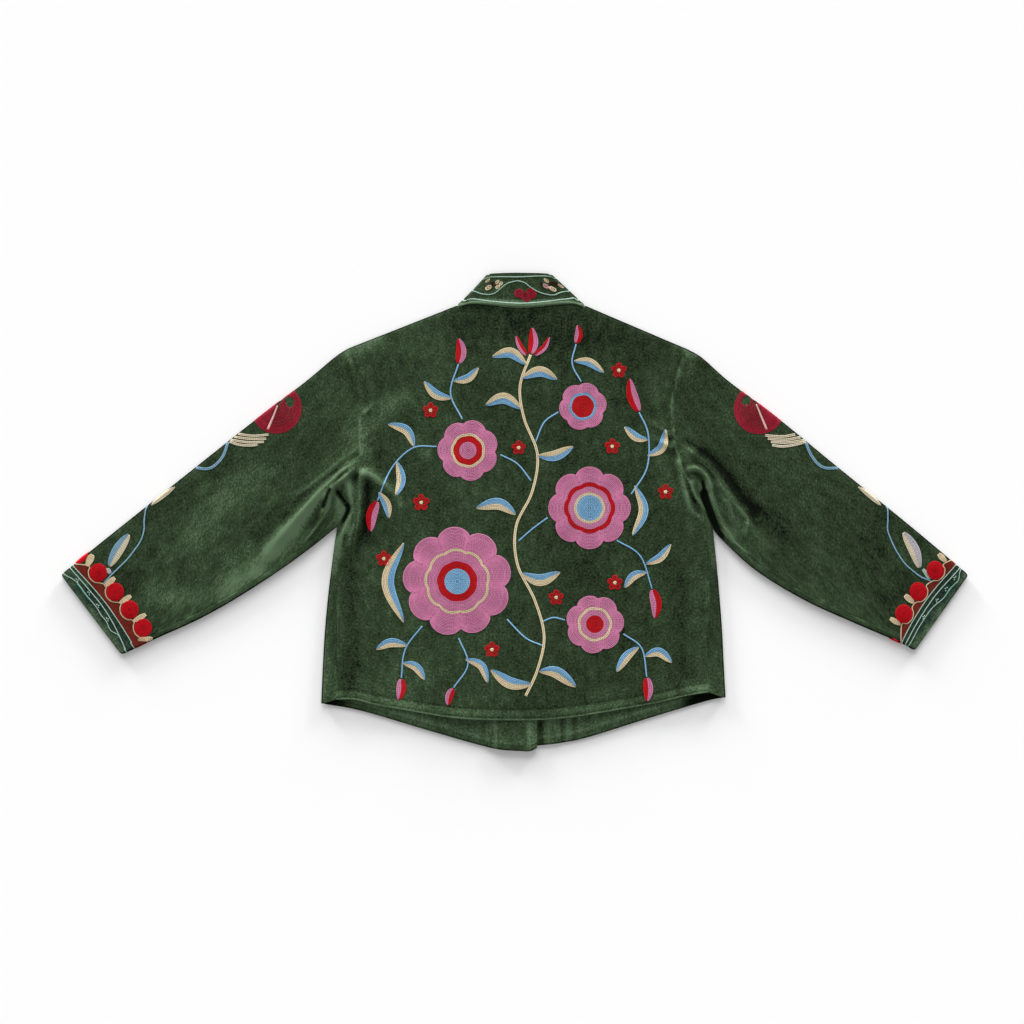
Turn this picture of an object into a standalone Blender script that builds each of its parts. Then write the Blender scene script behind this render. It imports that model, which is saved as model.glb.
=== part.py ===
# Velvet jacket with a stand collar, laid flat on its front with its back up.
# Units are metres, +Z up, +Y towards the collar. The origin is on the floor, in
# the middle of the jacket's outline. Left and right are the wearer's, so the
# left sleeve is at -X. Tables are in millimetres and are scaled by MM.

from collections import namedtuple

import bmesh
import bpy
import numpy as np

MM = 0.001

# Driving sizes of the cloth and of the seams, in metres
VELVET = 0.0020
COLLAR_WALL = 0.0026
FACING_WALL = 0.0010
FRONT_STACK = 0.0038
COLLAR_PROUD = 0.0006
CUFF_WIDTH = 0.0360
HEM_TURN_UP = 0.0009
HEM_TURN_UP_DEPTH = 0.015
SIDE_LENGTH = 0.262
SEAM_GAP = 0.0003
FLAT_HEIGHT = 0.0072
FOLD_REACH = FLAT_HEIGHT / 2

# Centre front: the left front lies over the right one by twice the button stand
CENTRE_X = 0.0105
BUTTON_STAND = 0.0230
FACING_NECK_GAP = 0.0020
BUTTON_RADIUS = 0.0090
BUTTON_HEIGHT = 0.0026
BUTTON_COUNT = 5
TOP_BUTTON_Y = 0.185
LOW_BUTTON_Y = -0.255

# How finely each piece is divided
SIDE_ROWS = 9
ARMHOLE_ROWS = 14
SHOULDER_COLUMNS = 8
BACK_NECK_COLUMNS = 8
FRONT_NECK_COLUMNS = 6
SLEEVE_RINGS = 17
CUFF_RINGS = 2
STRIP_COLUMNS = 2
TURN_STEPS = 6
COLLAR_ROWS = 4
FACING_COLUMNS = 3

QUARTER = np.pi / 2

# Outline of the jacket, a point (x, y) for each place where its direction changes
Side = namedtuple("Side", "shoulder_tip armhole underarm armpit sleeve_top sleeve_low cuff_low side_fold side_seam")

LEFT = Side(
    shoulder_tip=(-250, 245),
    armhole=[(-246, 226), (-233, 186), (-229, 140), (-229, 98), (-237, 45)],
    underarm=(-252, -2),
    armpit=(-266, -22),
    sleeve_top=[(-271, 231), (-314, 195), (-385, 141), (-476, 69), (-589, -21), (-680, -94)],
    sleeve_low=[(-322, -66), (-394, -115), (-466, -157), (-538, -190)],
    cuff_low=(-589, -214),
    side_fold=[(-271, -57), (-280, -129), (-286, -201), (-290, -287)],
    side_seam=[(-260, -72), (-265, -132), (-267, -212), (-268, -281)],
)
RIGHT = Side(
    shoulder_tip=(259, 244),
    armhole=[(253, 226), (240, 188), (236, 145), (242, 98), (265, 42)],
    underarm=(284, 3),
    armpit=(297, -25),
    sleeve_top=[(281, 231), (322, 195), (394, 141), (482, 69), (593, -21), (680, -94)],
    sleeve_low=[(311, -42), (362, -88), (434, -132), (506, -165), (578, -196)],
    cuff_low=(599, -208),
    side_fold=[(304, -93), (310, -165), (313, -220), (316, -278)],
    side_seam=[(289, -70), (289, -120), (289, -222), (290, -270)],
)

BACK_HEM = [(-268, -281), (-240, -281), (-212, -288), (-175, -295), (-86, -309), (10, -312),
            (70, -309), (116, -303), (208, -287), (254, -276), (290, -270)]
LEFT_FRONT_HEM = [(-290, -287), (-230, -298), (-131, -327), (-38, -353), (10, -358),
                  (24, -358), (33.5, -353)]
RIGHT_FRONT_HEM = [(316, -278), (289, -283), (208, -307), (116, -336), (77, -345), (34, -350), (-12.5, -352)]

# Neck: each row of the collar runs from a point on its left fold, over the back of
# the neck, to its right fold, and under it through a point on the centre front
CollarRow = namedtuple("CollarRow", "height left_fold back right_fold front_side front_low")
COLLAR = [
    CollarRow(0.0, (-85, 310), [(-60, 311), (10, 306), (82, 311)], (104, 310), 62, 222),
    CollarRow(0.5, (-62, 333), [(-42, 334), (10, 332), (62, 334)], (80, 333), 44, 247),
    CollarRow(1.0, (-42, 355), [(-32, 357), (7, 358), (46, 357)], (56, 355), 27, 272),
]

# Distance of the underarm seam from the sleeve's lower fold, from armpit to cuff
SeamInset = namedtuple("SeamInset", "share inset")
SLEEVE_SEAM = [SeamInset(0.0, 25), SeamInset(0.15, 18), SeamInset(0.4, 12), SeamInset(1.0, 8)]

# Folds: a soft ridge (or a trough where height is negative) along a bent line
# from start through middle to end. width is how far it spreads to each side,
# lower is the share of it that the under layer of cloth follows.
Fold = namedtuple("Fold", "start middle end height width end_width lower")
FOLDS = [
    # left underarm: two ridges down the sleeve, one down the side, and the pockets between
    Fold((-226, 84), (-292, 32), (-390, -92), 11, 11, 22, 0.6),
    Fold((-238, 62), (-281, 10), (-350, -66), 9, 7, 11, 0.5),
    Fold((-232, 62), (-226, 0), (-262, -110), 8, 8, 10, 0.5),
    Fold((-262, 34), (-250, 8), (-259, -20), -6, 4, 5, 0.0),
    Fold((-252, 42), (-280, 22), (-300, -22), -3, 4, 5, 0.0),
    Fold((-228, 62), (-188, 46), (-150, 4), 5, 8, 12, 0.6),
    Fold((-206, -20), (-212, -60), (-222, -130), -3, 9, 14, 0.3),
    # right underarm
    Fold((244, 96), (306, 66), (366, -52), 10, 9, 16, 0.6),
    Fold((256, 62), (294, 60), (308, -30), 8, 5, 6, 0.5),
    Fold((246, 84), (262, 40), (286, -8), 6, 6, 6, 0.5),
    Fold((279, 50), (290, 20), (302, -34), -7, 4, 5, 0.0),
    Fold((238, 126), (214, 140), (180, 160), 4, 8, 12, 0.6),
    Fold((240, 98), (214, 108), (188, 126), 3.5, 6, 10, 0.6),
    Fold((258, 32), (250, 12), (284, -14), 3, 5, 6, 0.4),
    # broad soft swells of the upper layer of the sleeves
    Fold((-300, 150), (-420, 60), (-560, -60), 3, 34, 34, 0),
    Fold((-330, 40), (-440, -70), (-540, -140), 2.5, 24, 26, 0),
    Fold((310, 150), (420, 70), (560, -60), 3, 34, 34, 0),
    Fold((390, -20), (470, -80), (560, -140), 2.5, 26, 26, 0),
    # broad soft swells of the back
    Fold((-170, 190), (-60, 220), (60, 215), 1.5, 40, 40, 0),
    Fold((-150, -60), (-140, -160), (-160, -260), 1.5, 36, 30, 0),
    Fold((170, -20), (180, -140), (190, -240), 1.5, 36, 30, 0),
]

# Places where the back alone stands off the fronts, as soft round hills
Hill = namedtuple("Hill", "x y height reach_x reach_y")
HILLS = [
    Hill(-225, -290, 4.0, 42, 26),
    Hill(250, -280, 4.0, 44, 26),
    Hill(-90, -312, 2.0, 70, 24),
    Hill(110, -306, 2.0, 70, 24),
]


def smooth_step(low, high, value):
    share = np.clip((value - low) / (high - low), 0.0, 1.0)
    return share * share * (3 - 2 * share)


# Lines in the plane of the floor

def smooth_line(points, steps=14):
    """A dense line in metres through points given in millimetres (Catmull-Rom)."""
    knots = np.array(points, float) * MM
    knots = np.vstack([2 * knots[0] - knots[1], knots, 2 * knots[-1] - knots[-2]])
    line = []
    for before, start, end, after in zip(knots, knots[1:], knots[2:], knots[3:]):
        for t in np.linspace(0, 1, steps, endpoint=False):
            line.append(0.5 * (2 * start + (end - before) * t
                               + (2 * before - 5 * start + 4 * end - after) * t ** 2
                               + (3 * start - before - 3 * end + after) * t ** 3))
    line.append(knots[-2])
    return np.array(line)


def lengths_along(line):
    steps = np.linalg.norm(np.diff(line, axis=0), axis=1)
    return np.concatenate([[0.0], np.cumsum(steps)])


def at_distance(line, distances):
    """The points of a line at these distances along it."""
    along = lengths_along(line)
    return np.stack([np.interp(distances, along, line[:, 0]), np.interp(distances, along, line[:, 1])], axis=-1)


def at_shares(line, shares):
    return at_distance(line, np.asarray(shares) * lengths_along(line)[-1])


def unit(vectors):
    return vectors / np.maximum(np.linalg.norm(vectors, axis=-1, keepdims=True), 1e-12)


def patch(low, high, left, right, across, up):
    """A Coons patch between four rows of points that meet at their ends."""
    u = np.asarray(across)[:, None, None]
    v = np.asarray(up)[None, :, None]
    ruled = (1 - v) * low[:, None] + v * high[:, None] + (1 - u) * left[None] + u * right[None]
    corners = ((1 - u) * (1 - v) * low[0] + u * (1 - v) * low[-1]
               + (1 - u) * v * high[0] + u * v * high[-1])
    return ruled - corners


# Heights of the two layers of cloth over the floor

def fold_heights(places, follow_lower):
    """Summed height of all folds at each place, for the upper or the lower layer."""
    total = np.zeros(places.shape[:-1])
    for fold in FOLDS:
        start, middle, end = (np.array(p) * MM for p in (fold.start, fold.middle, fold.end))
        t = np.linspace(0, 1, 13)[:, None]
        line = (1 - t) ** 2 * start + 2 * t * (1 - t) * middle + t ** 2 * end
        nearest = np.full(total.shape, 1e9)
        share = np.zeros(total.shape)
        for step, (a, b) in enumerate(zip(line, line[1:])):
            along = np.clip(((places - a) @ (b - a)) / ((b - a) @ (b - a)), 0, 1)
            off = np.linalg.norm(places - a - along[..., None] * (b - a), axis=-1)
            closer = off < nearest
            nearest = np.where(closer, off, nearest)
            share = np.where(closer, (step + along) / (len(line) - 1), share)
        width = (fold.width + (fold.end_width - fold.width) * share) * MM
        fade = smooth_step(0.0, 0.12, share) * smooth_step(1.0, 0.55, share) * 0.85 + 0.15
        fade = fade * smooth_step(2.6, 1.0, nearest / width)
        ridge = fold.height * MM * fade * np.exp(-(nearest / width) ** 2)
        total += ridge * (fold.lower if follow_lower else 1.0)
    return total


def hill_heights(places):
    total = np.zeros(places.shape[:-1])
    for hill in HILLS:
        away = ((places[..., 0] - hill.x * MM) / (hill.reach_x * MM)) ** 2
        away = away + ((places[..., 1] - hill.y * MM) / (hill.reach_y * MM)) ** 2
        total += hill.height * MM * np.exp(-away)
    return total


def button_lift(places):
    """The fronts lie over the buttons, so they rise round the centre front."""
    off = np.abs(places[..., 0] - CENTRE_X)
    across = smooth_step(0.085, 0.026, off)
    above_low = smooth_step(LOW_BUTTON_Y - 0.075, LOW_BUTTON_Y - 0.025, places[..., 1])
    below_top = smooth_step(TOP_BUTTON_Y + 0.085, TOP_BUTTON_Y + 0.025, places[..., 1])
    return (BUTTON_HEIGHT + SEAM_GAP) * across * above_low * below_top


def low_layer(places):
    """Underside of the lower cloth where nothing lies below it."""
    return np.maximum(fold_heights(places, True), 0.0) + button_lift(places)


def left_front_underside(places):
    """The left front climbs over the right front and its facing."""
    below = VELVET + HEM_TURN_UP + FACING_WALL + 2 * SEAM_GAP
    edge = CENTRE_X - BUTTON_STAND
    return low_layer(places) + below * smooth_step(edge - 0.034, edge - 0.004, places[..., 0])


def upper_layer(places):
    """Outer side of the upper cloth: the back, and the upper half of the sleeves."""
    over_fronts = FRONT_STACK * smooth_step(0.160, 0.055, np.abs(places[..., 0] - CENTRE_X + BUTTON_STAND / 2))
    top = (FLAT_HEIGHT + fold_heights(places, False) + button_lift(places)
           + over_fronts + hill_heights(places))
    return np.maximum(top, low_layer(places) + 2 * VELVET + 0.0006)


# Cloth that turns round a fold. A piece is a grid of stations: base is where the
# cloth lies, turn is the outward direction of the fold it belongs to, and angle
# runs from +90 degrees on the upper layer to -90 degrees on the lower one.

Stations = namedtuple("Stations", "base turn angle")


def flat_stations(base, upper):
    return Stations(base, np.zeros_like(base), np.full(base.shape[:-1], QUARTER if upper else -QUARTER))


def join_stations(parts, axis):
    return Stations(*(np.concatenate([getattr(p, name) for p in parts], axis=axis) for name in Stations._fields))


def settle(stations, depth, underside):
    """Points in space at a depth inside the cloth's outer side."""
    top = upper_layer(stations.base)
    bottom = underside(stations.base)
    middle, half = (top + bottom) / 2, (top - bottom) / 2
    depth = np.broadcast_to(depth, half.shape)
    reach = (FOLD_REACH - depth) * np.cos(stations.angle)
    ground = stations.base + stations.turn * reach[..., None]
    height = middle + (half - depth) * np.sin(stations.angle)
    return np.concatenate([ground, height[..., None]], axis=-1)


# Building a wall of cloth from its grid

def seam_shrink(surface):
    """Half a seam gap at each edge of an open surface, square to the edge."""
    pull = {}
    for edge in surface.edges:
        if len(edge.link_faces) != 1:
            continue
        along = (edge.verts[1].co - edge.verts[0].co).normalized()
        inward = edge.link_faces[0].calc_center_median() - (edge.verts[0].co + edge.verts[1].co) / 2
        inward = (inward - inward.dot(along) * along).normalized()
        for vertex in edge.verts:
            pull.setdefault(vertex, []).append(inward)
    shifts = {}
    for vertex, inwards in pull.items():
        total = inwards[0] if len(inwards) == 1 else inwards[0] + inwards[1]
        length = max(total.length_squared / len(inwards), 0.12)
        shifts[vertex] = total * (SEAM_GAP / 2 / length)
    return shifts


def velvet_material(name, colour, roughness=0.85, metallic=0.0):
    material = bpy.data.materials.new(name)
    material.use_nodes = True
    shader = material.node_tree.nodes["Principled BSDF"]
    shader.inputs["Base Color"].default_value = (*colour, 1.0)
    shader.inputs["Roughness"].default_value = roughness
    shader.inputs["Metallic"].default_value = metallic
    return material


def add_object(name, surface, material):
    mesh = bpy.data.meshes.new(name)
    surface.to_mesh(mesh)
    surface.free()
    mesh.shade_smooth()
    mesh.set_sharp_from_angle(angle=np.radians(50))
    mesh.materials.append(material)
    thing = bpy.data.objects.new(name, mesh)
    parts.objects.link(thing)
    return thing


def cloth_wall(name, outer, inner, material, keep=None):
    """A closed wall between two grids of points, outer[i][j] and inner[i][j]."""
    columns, rows = outer.shape[0] - 1, outer.shape[1] - 1
    surface = bmesh.new()
    column = surface.verts.layers.int.new("column")
    row = surface.verts.layers.int.new("row")
    bmesh.ops.create_grid(surface, x_segments=columns, y_segments=rows, size=1.0)
    for vertex in surface.verts:
        vertex[column] = round((vertex.co.x + 1) / 2 * columns)
        vertex[row] = round((vertex.co.y + 1) / 2 * rows)
    if keep is not None:
        cut = [face for face in surface.faces
               if not keep(min(v[column] for v in face.verts), min(v[row] for v in face.verts))]
        bmesh.ops.delete(surface, geom=cut, context="FACES")
    for vertex in surface.verts:
        vertex.co = outer[vertex[column]][vertex[row]]
    shift = surface.verts.layers.float_vector.new("shift")
    for vertex, pull in seam_shrink(surface).items():
        vertex[shift] = pull
    made = bmesh.ops.extrude_face_region(surface, geom=surface.faces[:], use_keep_orig=True)
    for vertex in surface.verts:
        vertex.co = outer[vertex[column]][vertex[row]]
    for vertex in (v for v in made["geom"] if isinstance(v, bmesh.types.BMVert)):
        vertex.co = inner[vertex[column]][vertex[row]]
    for vertex in surface.verts:
        vertex.co = vertex.co + vertex[shift]
        vertex.co.z = max(vertex.co.z, 0.0)
    bmesh.ops.recalc_face_normals(surface, faces=surface.faces[:])
    return add_object(name, surface, material)


# Lines that several pieces share

def armhole_line(side):
    upper = smooth_line([side.shoulder_tip, *side.armhole, side.underarm])
    return np.vstack([upper, np.array([side.armpit]) * MM])


def ring_distances(line):
    """Rings at equal shares of the sleeve, then those of the cuff at its real width."""
    full = lengths_along(line)[-1]
    sleeve = np.linspace(0, 1, SLEEVE_RINGS + 1) ** 1.2 * (full - CUFF_WIDTH)
    cuff = full - CUFF_WIDTH + np.linspace(0, 1, CUFF_RINGS + 1)[1:] * CUFF_WIDTH
    return np.concatenate([sleeve, cuff])


def sleeve_stations(side):
    """Grid of the sleeve and cuff: round it from the underarm seam, and along it."""
    around = np.linspace(0, 1, 61)
    top_line = smooth_line([side.shoulder_tip, *side.sleeve_top])
    low_line = smooth_line([side.armpit, *side.sleeve_low, side.cuff_low])
    top = at_distance(top_line, ring_distances(top_line))
    low = at_distance(low_line, ring_distances(low_line))
    shares = ring_distances(top_line) / lengths_along(top_line)[-1]
    armhole = at_shares(armhole_line(side), around)
    cuff = at_shares(np.array([side.sleeve_top[-1], side.cuff_low]) * MM, around)
    ground = patch(armhole, cuff, top, low, around, shares)
    insets = np.interp(shares, [s.share for s in SLEEVE_SEAM], [s.inset * MM for s in SLEEVE_SEAM])
    insets[0] = underarm_inset(side)
    return join_stations([ring_stations(ground[:, j], insets[j]) for j in range(len(shares))], axis=1)


def ring_stations(line, seam_inset):
    """One ring round a flattened tube whose folds are at the ends of line."""
    full = lengths_along(line)[-1]
    near, far = at_distance(line, [FOLD_REACH, full - FOLD_REACH])
    turns = np.linspace(QUARTER, -QUARTER, TURN_STEPS + 1)[1:-1]
    upper = at_distance(line, np.linspace(full - seam_inset, FOLD_REACH, ARMHOLE_ROWS + 1))
    lower = at_distance(line, np.linspace(FOLD_REACH, full - FOLD_REACH, ARMHOLE_ROWS + 1))
    strip = at_distance(line, np.linspace(full - FOLD_REACH, full - seam_inset, STRIP_COLUMNS + 1))
    rounds = [(near, unit(line[0] - near), turns), (far, unit(line[-1] - far), -turns)]
    first, second = (Stations(np.tile(centre, (len(a), 1)), np.tile(out, (len(a), 1)), a)
                     for centre, out, a in rounds)
    ring = join_stations([flat_stations(upper, True), first, flat_stations(lower, False),
                          second, flat_stations(strip, True)], axis=0)
    return Stations(ring.base[:, None], ring.turn[:, None], ring.angle[:, None])


def underarm_inset(side):
    """Distance of the underarm point from the armpit."""
    return float(np.linalg.norm(np.subtract(side.underarm, side.armpit))) * MM


def armhole_upper(side):
    """Stations of the armhole on the upper layer, from the underarm to the shoulder."""
    line = armhole_line(side)
    full = lengths_along(line)[-1]
    return at_distance(line, np.linspace(full - underarm_inset(side), FOLD_REACH, ARMHOLE_ROWS + 1))


def armhole_lower(side):
    """Stations of the armhole on the lower layer, from the armpit to the shoulder."""
    line = armhole_line(side)
    full = lengths_along(line)[-1]
    return at_distance(line, np.linspace(full - FOLD_REACH, FOLD_REACH, ARMHOLE_ROWS + 1))


def neck_tip(side):
    return np.array(COLLAR[0].left_fold if side is LEFT else COLLAR[0].right_fold) * MM


def shoulder_lines(side):
    """The shoulder seam on the fold, and the same stations set in by the fold's reach."""
    tips = at_shares(np.array([np.array(side.shoulder_tip) * MM, neck_tip(side)]),
                     np.linspace(0, 1, SHOULDER_COLUMNS + 1))
    at_armhole = unit(armhole_upper(side)[-1] - tips[0])
    along = unit(tips[-1] - tips[0])
    at_neck = np.array([along[1], -along[0]]) if side is LEFT else np.array([-along[1], along[0]])
    share = np.linspace(0, 1, SHOULDER_COLUMNS + 1)[:, None]
    inward = unit((1 - share) * at_armhole + share * at_neck)
    return tips, tips + inward * FOLD_REACH


def back_neckline():
    row = COLLAR[0]
    middle = smooth_line([shoulder_lines(LEFT)[1][-1] / MM, *row.back, shoulder_lines(RIGHT)[1][-1] / MM])
    return at_shares(middle, np.linspace(0, 1, BACK_NECK_COLUMNS + 1))


def front_neck_curve(side, start, reach, low):
    """From the shoulder to this front's edge, which passes the centre by the button stand."""
    sign = 1 if side is LEFT else -1
    centre = CENTRE_X / MM
    drop = start[1] - low
    line = smooth_line([start, (centre - sign * reach * 1.25, low + drop * 0.46),
                        (centre - sign * reach * 0.62, low + drop * 0.12), (centre, low),
                        (centre + sign * BUTTON_STAND / MM, low + 1.5)])
    return at_shares(line, np.linspace(0, 1, FRONT_NECK_COLUMNS + 1))


def front_neckline(side):
    start = shoulder_lines(side)[1][-1] / MM
    return front_neck_curve(side, start, COLLAR[0].front_side, COLLAR[0].front_low)


# The pieces

def make_back(material):
    left_seam = at_shares(smooth_line([LEFT.underarm, *LEFT.side_seam])[::-1], side_shares())
    right_seam = at_shares(smooth_line([RIGHT.underarm, *RIGHT.side_seam])[::-1], side_shares())
    left = np.vstack([left_seam[:-1], armhole_upper(LEFT)])
    right = np.vstack([right_seam[:-1], armhole_upper(RIGHT)])
    (left_tips, left_inset), (right_tips, right_inset) = shoulder_lines(LEFT), shoulder_lines(RIGHT)
    top = np.vstack([left_inset[:-1], back_neckline()[:-1], right_inset[::-1]])
    tips = np.vstack([left_tips, back_neckline()[1:-1], right_tips[::-1]])
    across = lengths_along(top) / lengths_along(top)[-1]
    low = at_shares(smooth_line(BACK_HEM), across)
    low[0], low[-1] = left[0], right[0]
    ground = patch(low, top, left, right, across, row_shares(left))
    flat = flat_stations(ground, True)
    stations = join_stations([flat, quarter_turn(top, tips, 1)], axis=1)
    seam_columns = range(SHOULDER_COLUMNS, SHOULDER_COLUMNS + BACK_NECK_COLUMNS)
    flat_rows = ground.shape[1] - 1
    inner = settle(stations, hem_depths(stations), low_layer)
    return cloth_wall("back", settle(stations, 0.0, low_layer), inner, material,
                      lambda column, row: row < flat_rows or column not in seam_columns)


def side_shares():
    """Rows from hem to underarm: two rows close together end the turned-up hem."""
    hem = HEM_TURN_UP_DEPTH / SIDE_LENGTH
    return np.concatenate([[0.0, hem, hem * 1.1], np.linspace(0.15, 1.0, SIDE_ROWS - 2)])


def row_shares(edge):
    along = lengths_along(edge)
    return along / along[-1]


def quarter_turn(inset, tips, sign):
    """Rows that turn from the layer (sign +1 upper, -1 lower) to the middle of a fold."""
    angles = sign * np.linspace(QUARTER, 0, TURN_STEPS // 2 + 1)[1:]
    base = np.repeat(inset[:, None], len(angles), axis=1)
    turn = np.repeat(unit(tips - inset)[:, None], len(angles), axis=1)
    return Stations(base, turn, np.tile(angles, (len(inset), 1)))


def front_stations(side):
    """Grid of one front: from the side seam round the side fold to the front edge."""
    rows = side_shares()
    tips = at_shares(smooth_line([side.armpit, *side.side_fold])[::-1], rows)
    seam = at_shares(smooth_line([side.underarm, *side.side_seam])[::-1], rows)
    line = armhole_line(side)
    full = lengths_along(line)[-1]
    armpit_inset = at_distance(line, full - FOLD_REACH)
    outward = np.array([-1.0 if side is LEFT else 1.0, 0.0])
    share = smooth_step(0.45, 1.0, rows)[:, None]
    out = unit((1 - share) * outward + share * unit(tips[-1] - armpit_inset))
    inset = tips - out * FOLD_REACH
    inset[-1] = armpit_inset
    # upper strip from the seam to the fold, then the fold itself, for the rows below the armpit
    steps = np.linspace(0, 1, STRIP_COLUMNS + 1)[:-1, None, None]
    strip = flat_stations((1 - steps) * seam + steps * inset, True)
    turns = np.linspace(QUARTER, -QUARTER, TURN_STEPS + 1)[:-1]
    fold = Stations(np.tile(inset, (len(turns), 1, 1)), np.tile(out, (len(turns), 1, 1)),
                    np.tile(turns[:, None], (1, len(rows))))
    beside = join_stations([strip, fold], axis=0)
    spare = ARMHOLE_ROWS + TURN_STEPS // 2
    beside = Stations(*(np.concatenate([a, np.repeat(a[:, -1:], spare, axis=1)], axis=1) for a in beside))
    # the panel itself, on the floor
    tips_top, inset_top = shoulder_lines(side)
    neck = front_neckline(side)
    top = np.vstack([inset_top[:-1], neck])
    top_tips = np.vstack([tips_top, neck[1:]])
    outer = np.vstack([inset[:-1], armhole_lower(side)])
    hem = smooth_line(LEFT_FRONT_HEM if side is LEFT else RIGHT_FRONT_HEM)
    across = lengths_along(top) / lengths_along(top)[-1]
    low = at_shares(hem, across)
    low[0] = outer[0]
    up = row_shares(outer)
    edge = low[-1] + up[:, None] * (neck[-1] - low[-1])
    ground = patch(low, top, outer, edge, across, up)
    panel = join_stations([flat_stations(ground, False), quarter_turn(top, top_tips, -1)], axis=1)
    return join_stations([beside, panel], axis=0)


def front_rows():
    return SIDE_ROWS, SIDE_ROWS + ARMHOLE_ROWS


def in_front(column, row):
    """Which faces of a front's grid are cloth."""
    armpit_row, shoulder_row = front_rows()
    first_panel = STRIP_COLUMNS + TURN_STEPS
    if column < first_panel:
        return row < armpit_row
    return row < shoulder_row or column < first_panel + SHOULDER_COLUMNS


def hem_depths(stations):
    """Depth of the cloth's inner side, thicker where the hem is turned up."""
    depth = np.full(stations.angle.shape, VELVET)
    depth[:, 0:2] += HEM_TURN_UP * (np.abs(stations.angle[:, 0:2]) > QUARTER - 0.01)
    return depth


def make_front(name, side, underside, material):
    stations = front_stations(side)
    inner = settle(stations, hem_depths(stations), underside)
    return cloth_wall(name, settle(stations, 0.0, underside), inner, material, in_front)


def make_facing(name, side, underside, material):
    """A strip inside the front edge, made from the front's own points, moved in."""
    stations = front_stations(side)
    shoulder_row = front_rows()[1]
    grid = flat_stations(stations.base[-1 - FACING_COLUMNS:, : shoulder_row + 1], False)
    neck_end, before = grid.base[:, -1], grid.base[:, -2]
    grid.base[:, -1] = neck_end + unit(before - neck_end) * FACING_NECK_GAP
    start = np.full(grid.angle.shape, VELVET + SEAM_GAP)
    start[:, 0:2] += HEM_TURN_UP
    cloth_wall(name, settle(grid, start, underside), settle(grid, start + FACING_WALL, underside), material)


def make_sleeve(name, side, sleeve_material, cuff_material):
    grid = sleeve_stations(side)
    outer, inner = settle(grid, 0.0, low_layer), settle(grid, VELVET, low_layer)
    cloth_wall(f"sleeve_{name}", outer[:, : SLEEVE_RINGS + 1], inner[:, : SLEEVE_RINGS + 1], sleeve_material)
    cloth_wall(f"cuff_{name}", outer[:, SLEEVE_RINGS:], inner[:, SLEEVE_RINGS:], cuff_material)


def collar_row(height):
    """Lines of one row of the collar: over the back, and each front half."""
    heights = [row.height for row in COLLAR]

    def between(values):
        values = np.array(values, float)
        return np.array([np.interp(height, heights, values[:, k]) for k in range(values.shape[1])])

    left = between([row.left_fold for row in COLLAR])
    right = between([row.right_fold for row in COLLAR])
    back = [between([row.back[k] for row in COLLAR]) for k in range(3)]
    side = np.interp(height, heights, [row.front_side for row in COLLAR])
    low = np.interp(height, heights, [row.front_low for row in COLLAR])
    return left, right, back, side, low


def make_collar(material):
    rows = []
    turns = np.linspace(-QUARTER, QUARTER, TURN_STEPS + 1)[1:-1]
    shoulder_turns = []
    for side in (LEFT, RIGHT):
        tips, inset = shoulder_lines(side)
        shoulder_turns.append(unit(tips[-1] - inset[-1]))
    turn_left, turn_right = shoulder_turns
    for height in np.linspace(0, 1, COLLAR_ROWS + 1):
        left, right, back, reach, low = collar_row(height)
        swing = smooth_step(0.0, 0.35, height)
        out_left = unit((1 - swing) * turn_left + swing * np.array([-1.0, 0.05]))
        out_right = unit((1 - swing) * turn_right + swing * np.array([1.0, 0.05]))
        inset_left = left - out_left * FOLD_REACH / MM
        inset_right = right - out_right * FOLD_REACH / MM
        over = at_shares(smooth_line([inset_left, *back, inset_right]), np.linspace(0, 1, BACK_NECK_COLUMNS + 1))
        left_half = front_neck_curve(LEFT, inset_left, reach, low)
        right_half = front_neck_curve(RIGHT, inset_right, reach, low)
        fold_left = Stations(np.tile(over[0], (len(turns), 1)), np.tile(out_left, (len(turns), 1)), turns)
        fold_right = Stations(np.tile(over[-1], (len(turns), 1)), np.tile(out_right, (len(turns), 1)), turns[::-1])
        rows.append(join_stations([flat_stations(left_half[::-1], False), fold_left, flat_stations(over, True),
                                   fold_right, flat_stations(right_half, False)], axis=0))
    stations = Stations(*(np.stack([getattr(r, name) for r in rows], axis=1) for name in Stations._fields))
    half = stations.angle.shape[0] // 2

    def underside(places):
        """The collar's left half lies over its right half, as the fronts do."""
        heights = low_layer(places)
        step = COLLAR_WALL + 2 * SEAM_GAP + 0.0012
        edge = CENTRE_X - BUTTON_STAND
        climb = step * smooth_step(edge - 0.030, edge - 0.004, places[..., 0])
        is_left = (np.arange(places.shape[0]) < half)[:, None]
        return heights + np.where(is_left, climb, 0.0)

    proud = -COLLAR_PROUD * np.maximum(np.sin(stations.angle), 0.0)
    outer = settle(stations, proud, underside)
    return cloth_wall("collar", outer, settle(stations, proud + COLLAR_WALL, underside), material)


def make_button(number, y, material):
    """A turned disc with a raised rim, face down on the floor."""
    profile = [(0.0, 0.0008), (0.62, 0.0008), (0.74, 0.0), (0.92, 0.0), (1.0, 0.0006),
               (1.0, 0.0018), (0.88, BUTTON_HEIGHT), (0.0, BUTTON_HEIGHT)]
    surface = bmesh.new()
    ring = [surface.verts.new((share * BUTTON_RADIUS, 0.0, height)) for share, height in profile]
    edges = [surface.edges.new(pair) for pair in zip(ring, ring[1:])]
    bmesh.ops.spin(surface, geom=ring + edges, axis=(0, 0, 1), cent=(0, 0, 0), angle=2 * np.pi,
                   steps=16, use_merge=True)
    bmesh.ops.remove_doubles(surface, verts=surface.verts[:], dist=1e-6)
    bmesh.ops.recalc_face_normals(surface, faces=surface.faces[:])
    bmesh.ops.translate(surface, verts=surface.verts[:], vec=(CENTRE_X, y, 0.0))
    return add_object(f"button_{number}", surface, material)


for thing in list(bpy.data.objects):
    bpy.data.objects.remove(thing)
parts = bpy.data.collections.new("velvet_jacket")
bpy.context.scene.collection.children.link(parts)

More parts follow.
